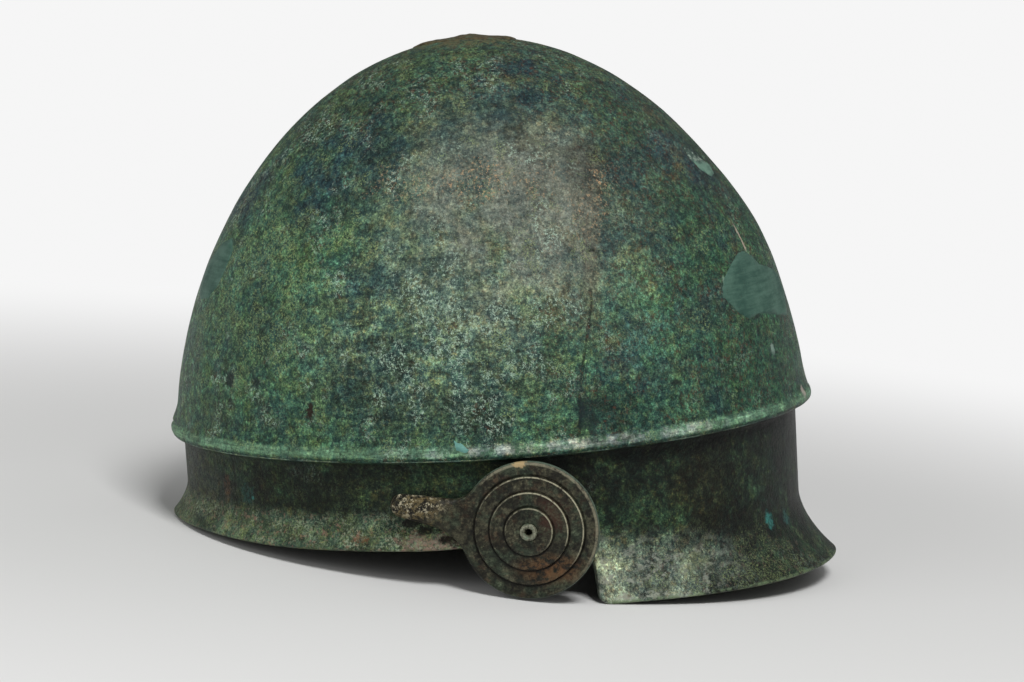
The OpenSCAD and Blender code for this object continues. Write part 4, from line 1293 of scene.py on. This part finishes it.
# %% Finish the discs
def disc_patina(name, mirrored, rust_at, chip_at):
    bronze = Recipe(name, LEFT_EAR, mirrored)
    across, upward, out = bronze.x, bronze.y, bronze.z
    away = bronze.length(bronze.node("ShaderNodeCombineXYZ", {0: across, 1: upward, 2: 0.0}))
    dots = bronze.noise(0.8, 3, 0.8, 1)
    blots = bronze.noise(2.4, 4, 0.75, 2)
    haze = bronze.noise(9, 4, 0.6, 3)
    pitted = bronze.noise(2.4, 5, 0.8, 5)
    tip = bronze.near(TIP_SPOT, 11, 0.6)
    tone = bronze.coats(
        (33, 32, 23),
        ((56, 55, 42), (haze + (blots - 0.5)).rise(0.4, 0.64)),  # lighter brown
        ((50, 62, 48), bronze.noise(7, 4, 0.6, 4).rise(0.48, 0.62) * 0.6),  # green
        ((66, 50, 36), bronze.noise(5, 5, 0.7, 7).rise(0.54, 0.66) * 0.6),  # red-brown
    )
    tone = tone * 2 ** (dots.swing(5) + blots.swing(6.5) - 0.25)
    rusty = bronze.near(rust_at, 7, 0.7, (1.3, 0.62, 1)) * (haze + blots.swing(1.6)).rise(0.26, 0.5)
    # glints are painted highlights on the upper side of the arm's tip
    glints = bronze.noise(1.8, 4, 0.8, 6).rise(0.54, 0.59) * (upward - 8).rise(-5, 3)
    tone = bronze.coats(
        tone,
        ((62, 56, 40), tip * 0.6),
        ((102, 70, 42), rusty * (dots * 0.7 + 0.25)),
        ((76, 46, 34), bronze.near(HEAD_STAIN_SPOT, 3.5, 0.8, (1, 1.4, 1), blots) * 0.4),
        ((118, 104, 70), tip * pitted.rise(0.5, 0.58) * 0.8),  # ochre between the pits
        ((13, 12, 10), tip * pitted.rise(0.495, 0.455) * 0.95),  # the pits
        # painted glints on the tip
        ((190, 182, 154), tip * glints),
    )
    lips, feet = rings(away)
    # lit is 1 on the upper right of the disc, which faces the light, and 0 on the lower left: it places
    # painted highlights and painted shade.
    lit = (across * 0.6 + upward * 0.8 + 2).rise(-7, 14)
    lip_wear_and_highlight = (haze * 0.6 + dots * 0.5).rise(0.36, 0.6) * (0.06 + 0.94 * lit)
    # a painted highlight along the bevel of the rim
    rim_highlight = (away - RIM_HIGHLIGHT_R).rise(-0.5, -0.1) * (away - (RIM_HIGHLIGHT_R + 0.3)).rise(0.5, 0.1)
    rim_highlight = rim_highlight * (across + 16).rise(-3, 3)
    # the pale line of the lips breaks up, less so on the side towards the light
    chipped_less_where_lit = 0.15 + 0.85 * (blots + lit * 0.08).rise(0.42, 0.56)
    # the rim's outer side face, away from the arm, where a highlight is painted
    rim_side = away.rise(23.5, 24.0) * out.rise(2.3, 2.0) * (across + 18).rise(-2, 2)
    tone = bronze.coats(
        tone,
        # pale rubbed lips of the steps with a painted highlight towards the light, and a painted highlight
        # on the rim's edge
        ((160, 156, 132), (lips + rim_highlight * 0.45) * lip_wear_and_highlight * chipped_less_where_lit),
        # dark dirt at the foot of each step, with painted shade that deepens on the side away from the light
        ((14, 13, 10), feet * (0.85 - lit * 0.35)),
        # a painted highlight in a pale green on the rim's side face
        ((92, 108, 94), rim_side * (blots + 0.1).rise(0.4, 0.62) * 0.8),
        ((172, 150, 110), bronze.near(chip_at, 1.7, 0.3, (1.4, 0.9, 1), blots) * 0.95),
    )
    relief = dots.swing(0.2) + blots.swing(0.4) + tip * (pitted - 0.5) * 1.4
    return bronze.finish(tone, 0.36 + haze.swing(0.3) + rusty * 0.25, relief, 0.2)


dress(discs["left"], disc_patina("left_disc_patina", False, (6.5, -13.5, 3), (-2.3, 23.4, 2.4)))
dress(discs["right"], disc_patina("right_disc_patina", True, (-9, 13, 3), (17, -16, 2.4)))

# %% [markdown]
# The small parts get finishes of their own: rubbed rivets, dull collars and washers, a dark lining ring and
# the crown's rust. The collars, the washers and the ring keep the measured model's shapes.
# %% Finish the small parts
def dull_metal(name, mean, dark, size, specular=0.2):
    metal = Recipe(name, STANDING)
    blots = metal.noise(size, 4, 0.75, 1)
    dots = metal.noise(size / 4, 3, 0.8, 2)
    tone = metal.coats(
        dark,
        (mean, (blots + dots.swing(0.6)).rise(0.36, 0.62)),
        ((70, 98, 79), metal.noise(size * 2, 4, 0.7, 3).rise(0.54, 0.66) * 0.6),  # green salts
    )
    return metal.finish(tone, 0.45 + blots.swing(0.4), blots.swing(0.3) + dots.swing(0.12), specular)


rivet_skin = dull_metal("rubbed_rivet", (134, 136, 116), (70, 70, 56), 2.0, 0.35)
small_skin = dull_metal("dull_collar", (64, 70, 54), (40, 44, 34), 3.0)
ring_skin = dull_metal("dull_ring", (76, 74, 52), (46, 48, 36), 5.0)
rust_skin = dull_metal("crown_rust", (90, 82, 58), (50, 46, 34), 1.8, 0.15)
dress(crust, rust_skin)
for side in EARS:
    dress(rivets[side], rivet_skin)
    dress(frame["nodes"][f"{side}_pin_collar"], small_skin)
    dress(frame["nodes"][f"{side}_pin_washer"], small_skin)
dress(frame["nodes"]["lining_ring"], ring_skin)

# %% [markdown]
# A plain pale floor goes over into the same white as the world behind it, so that no edge shows. Near the
# helmet it is a matt surface that takes its shadow, and further off it glows evenly.
# %% Floor
FLOOR_HALF = 8
NEAR_FLOOR, FAR_FLOOR = 180, 700
WHITE = 0.92
bm = bmesh.new()
bmesh.ops.create_grid(bm, x_segments=1, y_segments=1, size=FLOOR_HALF)
floor = add_object("floor", bm)
floor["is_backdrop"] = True
sheet = Recipe("pale_floor", Matrix.Scale(MM, 4))
sheet.feed(sheet.shader.inputs["Base Color"], (0.78, 0.78, 0.77))
sheet.feed(sheet.shader.inputs["Roughness"], 0.7)
sheet.feed(sheet.shader.inputs["Specular IOR Level"], 0.1)
glow = sheet.node("ShaderNodeEmission", {"Color": (1, 1, 1), "Strength": WHITE})
matt = Signal(sheet, sheet.shader.outputs[0])
far = sheet.length(sheet.place).rise(NEAR_FLOOR, FAR_FLOOR)
mixed = sheet.node("ShaderNodeMixShader", {0: far, 1: matt, 2: glow})
sheet.feed(sheet.tree.nodes["Material Output"].inputs["Surface"], mixed)
dress(floor, sheet.material)
print("floor:", 2 * FLOOR_HALF, "m wide")

# %% [markdown]
# The camera sees the world as that white, while the helmet gets only a dim, even light from it. Three large
# soft lamps do the rest: one high on the camera's side, as in the photograph, and two weaker ones.
# %% World and lamps
WORLD_LIGHT = 0.22
world = bpy.data.worlds.new("studio")
bpy.context.scene.world = world
world.use_nodes = True
backdrop = world.node_tree.nodes["Background"]
seen = world.node_tree.nodes.new("ShaderNodeLightPath")
level = world.node_tree.nodes.new("ShaderNodeMapRange")
level.inputs["To Min"].default_value = WORLD_LIGHT
level.inputs["To Max"].default_value = WHITE
world.node_tree.links.new(seen.outputs["Is Camera Ray"], level.inputs["Value"])
world.node_tree.links.new(level.outputs[0], backdrop.inputs["Strength"])
backdrop.inputs["Color"].default_value = (1, 1, 1, 1)

LAMPS = [
    # name, place in metres, size in metres, power in watts
    ("key", (1.1, 0.3, 1.6), 0.55, 25),
    ("front_fill", (1.2, -1.2, 0.6), 1.2, 8),
    ("back_fill", (-0.9, 1.2, 1.3), 1.2, 3),
]
LAMP_AIM = Vector((0, 0, 0.09))
for name, place, size, power in LAMPS:
    lamp_data = bpy.data.lights.new(name, "AREA")
    lamp_data.size = size
    lamp_data.energy = power
    lamp = bpy.data.objects.new(name, lamp_data)
    lamp.location = place
    lamp.rotation_euler = (Vector(place) - LAMP_AIM).to_track_quat("Z", "Y").to_euler()
    bpy.context.scene.collection.objects.link(lamp)
bpy.context.scene.view_settings.view_transform = "Standard"
print("lamps:", [name for name, *_ in LAMPS])

# %% [markdown]
# The dressed helmet has to fill the same box as the measured one. Both boxes are written down, so that they
# can be compared.
# %% Print the size of the measured and the dressed helmet
visual_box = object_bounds()
for name, box in (("cad box", cad_box), ("visual box", visual_box)):
    print(name, [[round(v * 1000, 2) for v in corner] for corner in box])
